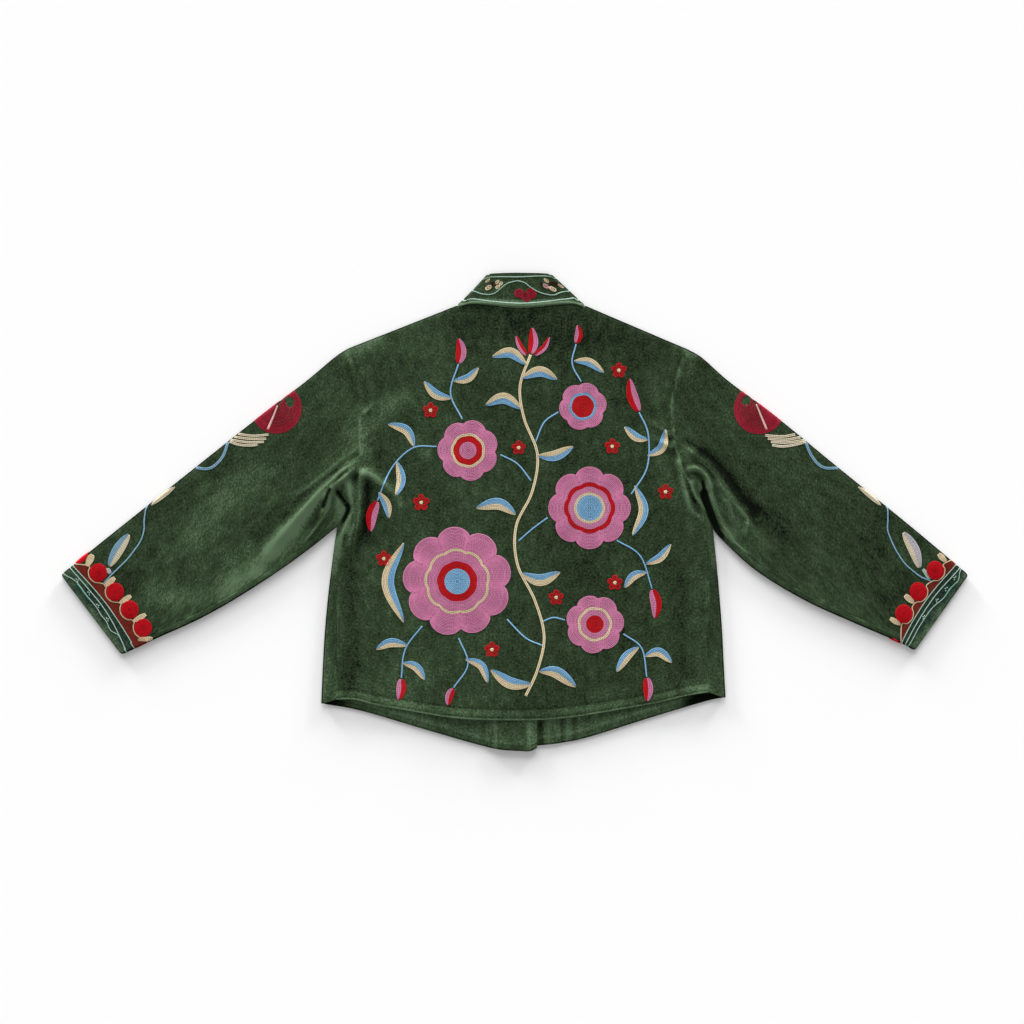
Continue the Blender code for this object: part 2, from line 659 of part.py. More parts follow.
velvet = velvet_material("green_velvet", (0.028, 0.050, 0.022))
cuff_velvet = velvet_material("blue_green_velvet", (0.008, 0.042, 0.032))
horn = velvet_material("dark_button", (0.030, 0.022, 0.018), roughness=0.35)

make_back(velvet)
make_front("front_left", LEFT, left_front_underside, velvet)
make_front("front_right", RIGHT, low_layer, velvet)
make_facing("facing_left", LEFT, left_front_underside, velvet)
make_facing("facing_right", RIGHT, low_layer, velvet)
make_sleeve("left", LEFT, velvet, cuff_velvet)
make_sleeve("right", RIGHT, velvet, cuff_velvet)
make_collar(velvet)
for number, y in enumerate(np.linspace(TOP_BUTTON_Y, LOW_BUTTON_Y, BUTTON_COUNT), start=1):
    make_button(number, y, horn)
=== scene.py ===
import math
from collections import namedtuple

import bmesh
import bpy
import numpy as np
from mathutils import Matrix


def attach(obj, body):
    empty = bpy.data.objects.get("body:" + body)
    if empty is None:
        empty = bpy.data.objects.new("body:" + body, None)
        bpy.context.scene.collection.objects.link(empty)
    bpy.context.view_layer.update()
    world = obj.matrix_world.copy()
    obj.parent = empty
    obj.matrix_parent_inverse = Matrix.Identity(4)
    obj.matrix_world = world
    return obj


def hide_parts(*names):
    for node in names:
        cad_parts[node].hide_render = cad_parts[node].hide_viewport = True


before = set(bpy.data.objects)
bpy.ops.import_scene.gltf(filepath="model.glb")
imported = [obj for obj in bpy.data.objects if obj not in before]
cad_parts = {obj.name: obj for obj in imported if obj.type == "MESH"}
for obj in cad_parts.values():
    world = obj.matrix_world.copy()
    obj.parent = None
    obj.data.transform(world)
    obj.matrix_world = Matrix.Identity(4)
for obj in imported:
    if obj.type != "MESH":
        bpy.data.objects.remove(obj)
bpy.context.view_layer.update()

# A velvet jacket with chain-stitch embroidery, laid flat with its back up. Every
# length below is in millimetres, in the frame's own axes, and addPiece turns them
# into metres. Left and right are the wearer's, so the left sleeve is at -X.
mm = 0.001
quarter = math.pi / 2
body = "root"

# Wall thickness of each cloth, and how the two layers lie on each other
cloth = {
    "velvet": 2.0,
    "collar": 2.6,
    "facing": 1.0,
    "cuffWidth": 36.0,
    "hemTurnUp": 0.9,
    "hemDepth": 15.0,
    "seamGap": 0.3,
    "flatHeight": 7.2,
    "overFronts": 3.8,
    "centreX": 10.5,
    "buttonStand": 23.0,
}
foldReach = cloth["flatHeight"] / 2

# Outline of the cut and laid jacket, a point for each place where it bends
leftSide = {
    "shoulderTip": (-250, 245),
    "armhole": [(-246, 226), (-233, 186), (-229, 140), (-229, 98), (-237, 45)],
    "underarm": (-252, -2),
    "armpit": (-266, -22),
    "sleeveTop": [(-271, 231), (-314, 195), (-385, 141), (-476, 69), (-589, -21), (-680, -94)],
    "sleeveLow": [(-322, -66), (-394, -115), (-466, -157), (-538, -190)],
    "cuffLow": (-589, -214),
    "sideFold": [(-271, -57), (-280, -129), (-286, -201), (-290, -287)],
    "sideSeam": [(-260, -72), (-265, -132), (-267, -212), (-268, -281)],
    "frontHem": [(-290, -287), (-230, -298), (-131, -327), (-38, -353), (10, -358), (24, -358), (33.5, -353)],
    "collarTurn": (-85, 310),
    "sign": 1,
}
rightSide = {
    "shoulderTip": (259, 244),
    "armhole": [(253, 226), (240, 188), (236, 145), (242, 98), (265, 42)],
    "underarm": (284, 3),
    "armpit": (297, -25),
    "sleeveTop": [(281, 231), (322, 195), (394, 141), (482, 69), (593, -21), (680, -94)],
    "sleeveLow": [(311, -42), (362, -88), (434, -132), (506, -165), (578, -196)],
    "cuffLow": (599, -208),
    "sideFold": [(304, -93), (310, -165), (313, -220), (316, -278)],
    "sideSeam": [(289, -70), (289, -120), (289, -222), (290, -270)],
    "frontHem": [(316, -278), (289, -283), (208, -307), (116, -336), (77, -345), (34, -350), (-12.5, -352)],
    "collarTurn": (104, 310),
    "sign": -1,
}
backHem = [(-268, -281), (-240, -281), (-212, -288), (-175, -295), (-86, -309), (10, -312),
           (70, -309), (116, -303), (208, -287), (254, -276), (290, -270)]

# Collar: how high up the band, the turns at its two sides, the line over the back of
# the neck, and how wide and low its front halves run
CollarRow = namedtuple("CollarRow", "height leftTurn back rightTurn frontSide frontLow")
collarRows = [
    CollarRow(0.0, (-85, 310), [(-60, 311), (10, 306), (82, 311)], (104, 310), 62, 222),
    CollarRow(0.5, (-62, 333), [(-42, 334), (10, 332), (62, 334)], (80, 333), 44, 247),
    CollarRow(1.0, (-42, 355), [(-32, 357), (7, 358), (46, 357)], (56, 355), 27, 272),
]

# Distance of the underarm seam from the sleeve's lower fold, from armpit to cuff
sleeveSeam = [(0.0, 25), (0.15, 18), (0.4, 12), (1.0, 8)]

# Creases of the upper cloth: the line each one follows, its height (a trough where it
# is negative), how far it spreads to the left and to the right of that line, how much
# wider it gets towards its end, and the share of it that the lower cloth follows
Crease = namedtuple("Crease", "path height left right spread lower")
creases = [
    # left underarm
    Crease([(-228, 100), (-246, 89), (-264, 76), (-282, 61), (-306, 42)], 1.8, 5, 6, 1.3, 0.3),
    Crease([(-229, 86), (-255, 64), (-277, 46), (-296, 26), (-325, -7), (-360, -50),
           (-392, -94)], 8.5, 12.5, 6.5, 1.8, 0.5),
    Crease([(-236, 70), (-254, 51), (-269, 40), (-278, 27), (-282, 10), (-291, -13), (-304, -34),
           (-322, -54)], 8.5, 6, 5, 1.4, 0.5),
    Crease([(-266, 33), (-258, 21), (-250, 10), (-251, -3), (-259, -19)], -8, 4.5, 4, 1.0, 0.0),
    Crease([(-252, 52), (-247, 20), (-249, -5), (-255, -27), (-263, -47), (-268, -92)], 6, 4, 4.5, 1.6, 0.4),
    Crease([(-228, 72), (-230, 42), (-232, 14), (-235, -10), (-243, -34), (-256, -62)], 8, 7, 6, 1.5, 0.5),
    Crease([(-222, 56), (-221, 24), (-223, -8), (-231, -44)], -1.5, 9, 8, 1.3, 0.0),
    Crease([(-231, 64), (-218, 57), (-204, 48), (-190, 37), (-177, 23), (-166, 8)], 5, 8, 11, 1.4, 0.5),
    Crease([(-229, 106), (-214, 122), (-198, 138)], 1.8, 5, 6, 1.6, 0.0),
    Crease([(-229, 146), (-213, 158), (-196, 168)], 1.6, 5, 6, 1.6, 0.0),
    Crease([(-247, 232), (-240, 208), (-232, 186)], 2.0, 3, 5, 1.4, 0.0),
    # right underarm
    Crease([(246, 102), (273, 83), (291, 68), (305, 52), (322, 24), (338, 0), (356, -26),
           (376, -58)], 10, 6.5, 13, 1.7, 0.5),
    Crease([(272, 96), (296, 80), (318, 56), (338, 28), (360, -6)], -2.4, 9, 6, 1.4, 0.0),
    Crease([(252, 62), (270, 65), (283, 57), (290, 42), (293, 24), (299, 4), (310, -20), (328, -44),
           (348, -62)], 7.5, 5, 4.5, 1.5, 0.5),
    Crease([(284, 36), (286, 22), (290, 8), (298, -10), (308, -34)], -9, 5, 4.5, 1.1, 0.0),
    Crease([(243, 84), (250, 48), (259, 18), (270, -2), (286, -14)], 6, 5.5, 5.5, 1.2, 0.4),
    Crease([(264, 50), (270, 28), (279, 12), (290, -6)], 3.5, 4, 4, 1.0, 0.0),
    Crease([(316, 22), (322, 4), (328, -14)], 1.4, 3, 4, 1.2, 0.0),
    Crease([(347, -14), (345, -28), (340, -44)], 1.4, 3, 4, 1.2, 0.0),
    Crease([(238, 112), (216, 126), (194, 144)], 3, 5, 7, 1.5, 0.2),
    Crease([(240, 96), (222, 103), (202, 114)], 2.6, 5, 6, 1.5, 0.2),
    Crease([(254, 232), (246, 206), (240, 186)], 2.0, 5, 3, 1.4, 0.0),
    # broad soft swells of the sleeves and of the back
    Crease([(-300, 150), (-420, 60), (-560, -60)], 3, 34, 34, 1.0, 0.0),
    Crease([(-330, 40), (-440, -70), (-540, -140)], 2.5, 24, 26, 1.0, 0.0),
    Crease([(310, 150), (420, 70), (560, -60)], 3, 34, 34, 1.0, 0.0),
    Crease([(390, -20), (470, -80), (560, -140)], 2.5, 26, 26, 1.0, 0.0),
    Crease([(-170, 190), (-60, 220), (60, 215)], 1.5, 40, 40, 1.0, 0.0),
    Crease([(-150, -60), (-140, -160), (-160, -260)], 1.5, 36, 34, 1.0, 0.0),
    Crease([(170, -20), (180, -140), (190, -240)], 1.5, 36, 34, 1.0, 0.0),
]
creaseEnd = 2.6  # a crease ends this many of its widths from its line

# Zones painted lighter or darker, partly where the pile lies lighter or darker and partly as painted
# highlight and shade on folds, seams and rims: path, reach and amount
napAndLightZones = [
    # back
    ([(-70, 292), (20, 286), (150, 268)], 40, -0.15), ([(60, 200), (130, 0), (120, -220)], 90, -0.05),
    ([(-185, 284), (-120, 300)], 16, 0.14), ([(-250, 239), (-228, 248), (-208, 260)], 12, 0.44),
    ([(-206, 256), (-120, 246)], 20, 0.09), ([(-192, 158), (-164, 172)], 12, 0.36),
    ([(-176, 280), (-160, 284)], 10, 0.14), ([(-226, 150), (-226, 100), (-214, 62)], 13, 0.3),
    ([(-210, 138), (-196, 144)], 12, 0.16), ([(-170, -100), (-150, -189), (-128, -250)], 12, 0.13),
    ([(176, 282), (190, 276)], 9, 0.2), ([(-252, 44), (-246, 34)], 8, 0.34),
    ([(-212, 50), (-200, 44)], 7, 0.1), ([(-228, 10), (-229, -50)], 8, -0.14),
    ([(-247, -24), (-249, -46)], 6, 0.42), ([(-268, -46), (-270, -90)], 7, 0.16),
    ([(-90, 298), (-50, 298)], 8, 0.14), ([(-226, 208), (-214, 190)], 9, 0.14),
    ([(-152, 106), (-132, 92)], 12, 0.26), ([(-206, 84), (-204, 62)], 10, -0.24),
    ([(-222, 20), (-214, -40)], 12, -0.1), ([(-190, -150), (-172, -300)], 30, 0.1),
    ([(-190, -20), (-160, -70)], 24, -0.1), ([(186, 10), (190, -90)], 20, -0.12),
    ([(100, 124), (124, 122)], 16, -0.1), ([(-200, -300), (0, -318), (200, -300)], 13, 0.14),
    ([(206, 116), (214, 70)], 13, 0.14), ([(200, 204), (212, 172)], 12, 0.18),
    ([(222, 46), (242, 24)], 11, 0.18), ([(60, 258), (140, 258)], 16, -0.08),
    ([(-60, 244), (-40, 238)], 14, -0.12), ([(46, 190), (62, 200)], 14, 0.16),
    ([(196, 128), (206, 118)], 9, 0.16), ([(247, -100), (252, -262)], 11, -0.16),
    ([(262, -262), (282, -268)], 11, 0.34), ([(-252, -284), (-224, -288)], 8, 0.4),
    ([(-270, -40), (-284, -170), (-284, -268)], 8, 0.24), ([(-242, -40), (-248, -272)], 11, -0.17),
    # left sleeve
    ([(-262, 34), (-262, 6)], 19, 0.34),
    ([(-288, 26), (-306, 5), (-324, -15), (-345, -34), (-368, -56)], 9, 0.56),
    ([(-316, -30), (-344, -62)], 14, 0.2), ([(-262, 66), (-286, 48), (-302, 34), (-318, 20)], 3, -0.3),
    ([(-340, -34), (-366, -58), (-396, -86), (-424, -108)], 17, 0.42), ([(-424, -76), (-436, -92)], 15, 0.2),
    ([(-355, -64), (-420, -112), (-470, -140)], 14, 0.12), ([(-458, -132), (-474, -142)], 14, -0.14),
    ([(-396, 48), (-438, 4), (-478, -44)], 24, 0.26), ([(-452, 66), (-426, 70)], 12, -0.14),
    ([(-542, -122), (-496, -130), (-446, -120)], 18, 0.26), ([(-588, -94), (-566, -112)], 16, -0.16),
    ([(-566, -168), (-544, -172)], 12, -0.1), ([(-484, 62), (-470, 12), (-492, -44)], 18, 0.15),
    ([(-598, -30), (-582, -14)], 10, 0.14), ([(-560, -34), (-546, -10)], 8, -0.12),
    ([(-524, -52), (-518, -70)], 12, 0.12), ([(-366, 60), (-330, 80)], 12, 0.12),
    ([(-312, 204), (-300, 196)], 8, 0.16), ([(-404, -54), (-400, -46)], 12, 0.14),
    ([(-376, 68), (-366, 66)], 12, 0.12), ([(-280, 196), (-272, 150)], 17, 0.14),
    ([(-254, 190), (-249, 130), (-252, 98)], 9, 0.14), ([(-482, 46), (-482, 22)], 10, -0.16),
    ([(-428, 46), (-443, 20)], 9, 0.14), ([(-398, -48), (-424, -74)], 9, 0.16),
    ([(-388, -92), (-362, -90)], 8, 0.2), ([(-664, -90), (-642, -104)], 9, 0.34),
    ([(-482, -152), (-502, -168)], 8, 0.14), ([(-536, -168), (-548, -176)], 9, -0.14),
    ([(-500, 40), (-560, -20)], 16, -0.06), ([(-318, 22), (-346, -6)], 8, -0.12),
    # right sleeve
    ([(280, 86), (304, 64), (336, 34), (366, 6), (400, -26)], 13, -0.22),
    ([(332, 12), (346, -4), (360, -18), (380, -38)], 8, -0.16), ([(256, 106), (264, 96)], 8, -0.14),
    ([(268, 52), (277, 45), (277, 34)], 6, 0.24), ([(478, -86), (492, -98)], 13, -0.13),
    ([(262, 62), (300, 20), (335, -15), (372, -42)], 17, 0.22),
    ([(552, -10), (530, -90), (560, -150)], 24, -0.13), ([(250, 206), (262, 214)], 12, 0.16),
    ([(256, 241), (266, 234)], 7, 0.36), ([(274, 222), (286, 214)], 9, -0.14),
    ([(258, 28), (266, -10)], 15, 0.18), ([(430, -64), (520, -142)], 22, 0.1),
    ([(452, -112), (458, -132)], 12, 0.12), ([(330, 130), (450, 40)], 26, 0.03),
    ([(552, -12), (574, -30), (608, -50)], 13, -0.12), ([(414, -34), (438, -54)], 11, -0.12),
    ([(592, -96), (566, -124), (532, -150)], 15, -0.12), ([(508, -168), (520, -174)], 8, 0.16),
    ([(660, -88), (674, -98)], 9, 0.18), ([(370, 104), (384, 104)], 10, -0.12),
    ([(256, 86), (262, 62)], 7, 0.2), ([(290, 45), (302, 41)], 5, 0.24), ([(312, -28), (326, -36)], 7, 0.2),
    ([(300, -64), (301, -82)], 6, 0.2), ([(352, -8), (364, -20)], 7, -0.16),
    ([(590, -112), (580, -130)], 14, -0.08), ([(364, -74), (318, -36)], 12, 0.12),
    # crests and faces of the left underarm with painted highlight, and its pockets with painted shade
    ([(-235, 94), (-252, 83), (-269, 71), (-280, 61), (-297, 48), (-315, 35), (-335, 22)], 3.0, 0.34),
    ([(-235, 77), (-247, 69.5), (-260, 61), (-272, 50), (-285, 38), (-297, 26), (-310, 12),
      (-322, 0)], 1.6, 0.46),
    ([(-281, 32), (-297, 16), (-315, -2), (-345, -34)], 8, 0.2),
    ([(-252, 54), (-246, 42), (-244, 30)], 6, 0.5), ([(-269, 24), (-263, 4)], 6, 0.26),
    ([(-247, 63), (-261, 53), (-273, 40)], 2.0, -0.4),
    ([(-275, 37), (-280, 26), (-285, 12), (-288, 3)], 2.6, -1.3),
    ([(-288, -4), (-296, -22), (-306, -40)], 5, -0.3),
    ([(-247, 51), (-260, 43), (-270, 36), (-275, 23), (-278, 9), (-285, -5), (-297, -22), (-310, -39),
      (-322, -51)], 2.1, 0.42),
    ([(-267, 33), (-259, 22), (-252, 13)], 1.7, -1.2),
    ([(-253, 14), (-249, 7), (-251, -3), (-259, -18)], 2.6, -1.5),
    ([(-240, 45), (-241, 0), (-248, -30)], 6, 0.26),
    ([(-235, 63), (-247, 46), (-255, 36), (-256, 25), (-247, 11), (-249, -1), (-255, -24), (-260, -45),
      (-262, -68)], 1.5, 0.32),
    ([(-240, 23), (-242, -1), (-252, -32), (-260, -64)], 5, 0.16),
    ([(-235, 53), (-232, 30), (-232, 5), (-234, -14), (-239, -39), (-242, -64)], 1.5, 0.3),
    ([(-224, 34), (-221, 16), (-221, -1), (-225, -30)], 6, -0.2),
    ([(-233, 62), (-220, 57), (-206, 48), (-192, 38), (-180, 27), (-172, 12)], 5.5, 0.34),
    ([(-232, 142), (-232, 104), (-230, 82)], 1.8, 0.34), ([(-242, 123), (-242, 98)], 6, 0.1),
    ([(-228, 98), (-213, 109), (-204, 113)], 2.0, 0.24), ([(-230, 146), (-216, 158)], 2.2, 0.2),
    ([(-222, 100), (-206, 104)], 4, -0.2), ([(-222, 146), (-214, 150)], 3, -0.3),
    # crests and faces of the right underarm with painted highlight, and its pockets with painted shade
    ([(238, 185), (235, 150), (238, 122), (242, 95), (253, 61), (264, 41), (270, 23), (284, 6), (290, -16),
      (293, -29)], 2.1, 0.34),
    ([(266, 83), (274, 79), (285, 70), (297, 58), (308, 42), (317, 26), (328, 12), (339, 3), (348, -8),
      (348, -22), (343, -40)], 1.6, 0.36),
    ([(276, 87), (292, 73), (309, 56), (326, 36), (343, 16), (360, 0)], 7.5, -0.36),
    ([(259, 62), (271, 62), (284, 56), (291, 47)], 1.5, 0.34),
    ([(285, 47), (292, 23), (300, -3), (306, -22), (313, -31), (325, -42), (340, -54),
      (360, -68)], 1.7, 0.42),
    ([(281, 48), (283, 36), (285, 24)], 1.8, -1.1),
    ([(284, 27), (286, 20), (291, 8), (296, -6), (302, -22), (308, -35)], 5, -1.5),
    ([(297, 38), (316, 0), (334, -28)], 10, 0.1), ([(319, 21), (324, 3), (328, -13)], 1.5, 0.2),
    ([(257, 33), (259, 13), (268, -1), (284, -13)], 2.1, 0.3), ([(264, 30), (272, 12)], 3.4, -0.26),
    ([(245, 74), (246, 30)], 10, 0.12), ([(262, 16), (276, 0)], 3, -0.14),
    ([(218, 127), (233, 117)], 1.8, 0.26), ([(218, 107), (238, 93)], 1.8, 0.3),
    ([(224, 116), (236, 106)], 3, -0.16),
]

# The inside of the fronts below the back's hem: how far up its turned-up hem reaches,
# the X where the two mouths painted dark with shade begin, and upright marks of painted
# highlight along edges, painted shade beside the left front's edge and lighter and darker
# streaks, by X, width and amount
hemInside = {"top": -270, "turnUp": 10.5, "mouths": (-240, 243), "lightAndShadeMarks": [
    (-29.5, 2.4, 0.28), (21.4, 2.2, 0.5), (28, 3.4, 0.2), (39, 4, -0.5), (50, 4, 0.1), (71, 2.6, -0.2),
    (80, 2.4, 0.3), (90, 2.4, -0.15), (98, 2.6, 0.22), (122, 3, 0.12), (-60, 6, 0.08), (-120, 8, -0.08),
    (-8, 42, -0.19), (172, 18, -0.14)]}

# How else the upper layer rises: from the first to the second distance off the lapped
# fronts, in round hills where the back's hem stands off the fronts (middle, height and
# reach), and in soft swells (height, cell and seed)
upperRises = {
    "overFronts": (160, 55),
    "hemHills": [((-225, -290), 4.0, (42, 26)), ((250, -280), 4.0, (44, 26)),
                 ((-90, -312), 2.0, (70, 24)), ((110, -306), 2.0, (70, 24))],
    "swells": [(0.5, 55, 3), (0.18, 17, 4)],
    "leastGap": 0.6,
}


# Lines and patches in the plane of the floor

def smoothStep(low, high, value):
    share = np.clip((value - low) / (high - low), 0.0, 1.0)
    return share * share * (3 - 2 * share)


def hump(off, width):
    return np.exp(-(off / width) ** 2)


def toneBands(distance, bands):
    # lighter and darker bands across a distance: the middle, width and amount of each
    return sum(amount * hump(distance - middle, width) for middle, width, amount in bands)


def unit(vectors):
    return vectors / np.maximum(np.linalg.norm(vectors, axis=-1, keepdims=True), 1e-9)


def leftOf(vectors):
    return np.stack([-vectors[..., 1], vectors[..., 0]], axis=-1)


def acrossOf(line):
    return leftOf(unit(np.gradient(line, axis=0)))


def smoothLine(points, steps=14):
    knots = np.array(points, float)
    knots = np.vstack([2 * knots[0] - knots[1], knots, 2 * knots[-1] - knots[-2]])
    line = []
    for before, start, end, after in zip(knots, knots[1:], knots[2:], knots[3:]):
        t = np.linspace(0, 1, steps, endpoint=False)[:, None]
        bend = 2 * before - 5 * start + 4 * end - after
        swerve = 3 * start - before - 3 * end + after
        line.append(0.5 * (2 * start + (end - before) * t + bend * t ** 2 + swerve * t ** 3))
    return np.vstack([*line, knots[-2]])


def lengthsAlong(line, axis=0):
    steps = np.linalg.norm(np.diff(line, axis=axis), axis=-1)
    return np.insert(np.cumsum(steps, axis=axis), 0, 0.0, axis=axis)


def fullLength(line):
    return lengthsAlong(line)[-1]


def sharesAlong(line):
    return lengthsAlong(line) / fullLength(line)


def interpolate(wanted, knots, values):
    return np.stack([np.interp(wanted, knots, values[:, axis]) for axis in range(values.shape[1])], axis=-1)


def atDistance(line, distances):
    return interpolate(distances, lengthsAlong(line), line)


def atShares(line, shares):
    return atDistance(line, np.asarray(shares) * fullLength(line))


def coonsPatch(low, high, left, right, across, up):
    u = np.asarray(across)[:, None, None]
    v = np.asarray(up)[None, :, None]
    ruled = (1 - v) * low[:, None] + v * high[:, None] + (1 - u) * left[None] + u * right[None]
    corners = (1 - u) * (1 - v) * low[0] + u * (1 - v) * low[-1] + (1 - u) * v * high[0] + u * v * high[-1]
    return ruled - corners


def spacedShares(count, length, power=1.0, closeStart=True, closeEnd=True):
    # even or growing steps, with three close ones at an edge that is rounded
    shares = np.linspace(0, 1, count + 1) ** power
    close = np.array([0.15, 0.5, 1.1]) / length
    margin = close[-1] * 1.4
    inside = shares[(shares > (margin if closeStart else 0)) & (shares < 1 - (margin if closeEnd else 0))]
    start = close if closeStart else []
    end = 1 - close[::-1] if closeEnd else []
    return np.concatenate([[0.0], start, inside, end, [1.0]])


def softNoise(places, cell, seed):
    # smooth seeded bumps between -1 and 1, one for each cell
    lattice = np.random.default_rng(seed).uniform(-1, 1, (64, 64))
    spot = places / cell + 32
    corner = np.floor(spot).astype(int)
    share = smoothStep(0, 1, spot - corner)
    (i, j), (iNext, jNext) = (np.moveaxis(at % 64, -1, 0) for at in (corner, corner + 1))
    across, up = share[..., 0], share[..., 1]
    low, high = (lattice[i, row] * (1 - across) + lattice[iNext, row] * across for row in (j, jNext))
    return low * (1 - up) + high * up


# Heights of the two layers over the floor

def offsetsFrom(places, line):
    # distance to the line, the side of it (+1 left, -1 right) and the share along it
    along = lengthsAlong(line)
    nearest = np.full(places.shape[:-1], 1e9)
    side = np.zeros(nearest.shape)
    share = np.zeros(nearest.shape)
    for start, end, near, far in zip(line, line[1:], along, along[1:]):
        step = end - start
        part = np.clip(((places - start) @ step) / (step @ step), 0, 1)
        away = places - start - part[..., None] * step
        off = np.linalg.norm(away, axis=-1)
        closer = off < nearest
        nearest = np.where(closer, off, nearest)
        side = np.where(closer, np.sign(step[0] * away[..., 1] - step[1] * away[..., 0]), side)
        share = np.where(closer, (near + part * (far - near)) / along[-1], share)
    return nearest, side, share


def nearLine(places, path, steps, reach):
    # which places are within reach of a line, and their distance, side and share
    line = smoothLine(path, steps)
    close = np.all((places > line.min(0) - reach) & (places < line.max(0) + reach), axis=-1)
    return close, *offsetsFrom(places[close], line)


def creaseHeights(places, onLower):
    total = np.zeros(places.shape[:-1])
    for crease in creases:
        follow = crease.lower if onLower else 1.0
        if follow == 0:
            continue
        reach = creaseEnd * max(crease.left, crease.right) * crease.spread
        close, off, side, share = nearLine(places, crease.path, 5, reach)
        width = np.where(side > 0, crease.left, crease.right) * (1 + (crease.spread - 1) * share)
        fade = smoothStep(0.0, 0.12, share) * smoothStep(1.0, 0.5, share) * 0.88 + 0.12
        fade = fade * smoothStep(creaseEnd, 1.0, off / width)
        total[close] += crease.height * follow * fade * np.exp(-(off / width) ** 1.6)
    return total


def climb(places, rise, reach):
    # how the left front and the collar's left half climb over the right ones
    edge = cloth["centreX"] - cloth["buttonStand"]
    return rise * smoothStep(edge - reach, edge - 4, places[..., 0])


def buttonLift(places):
    # the fronts lie over the buttons, so they rise round the centre front
    off = np.abs(places[..., 0] - cloth["centreX"])
    aboveLow = smoothStep(button["lowY"] - 75, button["lowY"] - 25, places[..., 1])
    belowTop = smoothStep(button["topY"] + 85, button["topY"] + 25, places[..., 1])
    return (button["height"] + cloth["seamGap"]) * smoothStep(85, 26, off) * aboveLow * belowTop


def lowLayer(places):
    return np.maximum(creaseHeights(places, True), 0.0) + buttonLift(places)


def leftFrontUnderside(places):
    # the left front lies over the right front and its facing
    below = cloth["velvet"] + cloth["hemTurnUp"] + cloth["facing"] + 2 * cloth["seamGap"]
    return lowLayer(places) + climb(places, below, 34)


def upperLayer(places):
    off = np.abs(places[..., 0] - cloth["centreX"] + cloth["buttonStand"] / 2)
    top = cloth["flatHeight"] + creaseHeights(places, False) + buttonLift(places)
    top = top + cloth["overFronts"] * smoothStep(*upperRises["overFronts"], off)
    for (x, y), height, (reachX, reachY) in upperRises["hemHills"]:
        top = top + height * hump(places[..., 0] - x, reachX) * hump(places[..., 1] - y, reachY)
    for height, cell, seed in upperRises["swells"]:
        top = top + height * softNoise(places, cell, seed)
    return np.maximum(top, lowLayer(places) + 2 * cloth["velvet"] + upperRises["leastGap"])


# Cloth that turns round a fold: base is where it lies, turn points outwards from its
# fold, and angle goes from +90 degrees on the upper layer to -90 on the lower one
Stations = namedtuple("Stations", "base turn angle")


def flatStations(base, upper):
    return Stations(base, np.zeros_like(base), np.full(base.shape[:-1], quarter if upper else -quarter))


def foldTurn(middle, out, turns):
    # cloth that turns round one place of a fold
    return Stations(np.tile(middle, (len(turns), 1)), np.tile(out, (len(turns), 1)), turns)


def joinStations(parts, axis):
    return Stations(*(np.concatenate(arrays, axis=axis) for arrays in zip(*parts)))


def allCells(stations):
    columns, rows = stations.angle.shape
    return np.ones((columns - 1, rows - 1), bool)


def settle(stations, depth, underside):
    # points at a depth inside the cloth's outer side
    top = upperLayer(stations.base)
    bottom = underside(stations.base)
    middle, half = (top + bottom) / 2, (top - bottom) / 2
    reach = (foldReach - depth) * np.cos(stations.angle)
    ground = stations.base + stations.turn * reach[..., None]
    height = middle + (half - depth) * np.sin(stations.angle)
    return np.concatenate([ground, height[..., None]], axis=-1)


# Making a piece: its tone runs from 0 to 1, for how far its pile is brushed up and for
# the light and shade painted on it, and uv is its place on the flat cloth in metres, with
# v along the way the pile runs. Painted highlights light the ridges and slopes, spots beside
# seams and a thin line inside each fold's edge; painted shade darkens the troughs and each
# side of a fold where the cloth turns away
napAndLightTone = {
    "plain": 0.40,
    # painted highlight on ridges and slopes, painted shade in troughs
    "reach": 5.0, "ridge": 0.16, "trough": 0.34, "highest": 1.2,
    "flat": 0.2, "slope": 0.12,
    # painted highlight in spots beside seams, painted shade where a fold turns away, and a painted highlight
    # just inside it
    "seam": 0.26, "foldEdgeShade": 1.1, "foldRimHighlight": 0.16,
}
# a hem's rim with a painted highlight, a darker line inside it and painted shade in the stitches' groove:
# distance in, width and amount
hemLightAndShadeBands = [(0.7, 1.1, 0.5), (4, 1.6, -0.2), (15, 1.6, -0.2)]


def addObject(name, data):
    made = bpy.data.objects.new(name, data)
    bpy.context.scene.collection.objects.link(made)
    return made


def addMesh(name, surface, material):
    mesh = bpy.data.meshes.new(name)
    surface.to_mesh(mesh)
    surface.free()
    mesh.materials.append(material)
    return addObject(name, mesh)


def addPiece(name, surface, material):
    # shapes are drawn in millimetres, and each piece is brought to metres here
    bmesh.ops.scale(surface, verts=surface.verts[:], vec=(mm, mm, mm))
    bmesh.ops.recalc_face_normals(surface, faces=surface.faces[:])
    piece = addMesh(name, surface, material)
    piece.data.shade_smooth()
    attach(piece, body)
    return piece


def borderDistance(points, cells):
    # how far each point of a grid of cells lies from the cloth's edge
    columns, rows = cells.shape
    around = np.zeros(points.shape[:2], int)
    for i, j in ((0, 0), (0, 1), (1, 0), (1, 1)):
        around[i:columns + i, j:rows + j] += cells
    edge = points[(around > 0) & (around < 4)]
    return np.array([np.linalg.norm(column[:, None] - edge, axis=-1).min(-1) for column in points])


def napAndLightZoneTone(places):
    # each zone paints a highlight or shade, or a lighter or darker patch of pile
    total = np.zeros(places.shape[:-1])
    for path, width, amount in napAndLightZones:
        close, off, _, share = nearLine(places, path, 4, 2.5 * width)
        fade = smoothStep(0.0, 0.08, share) * smoothStep(1.0, 0.8, share) if width < 5 else 1.0
        total[close] += amount * fade * hump(off, width)
    return total


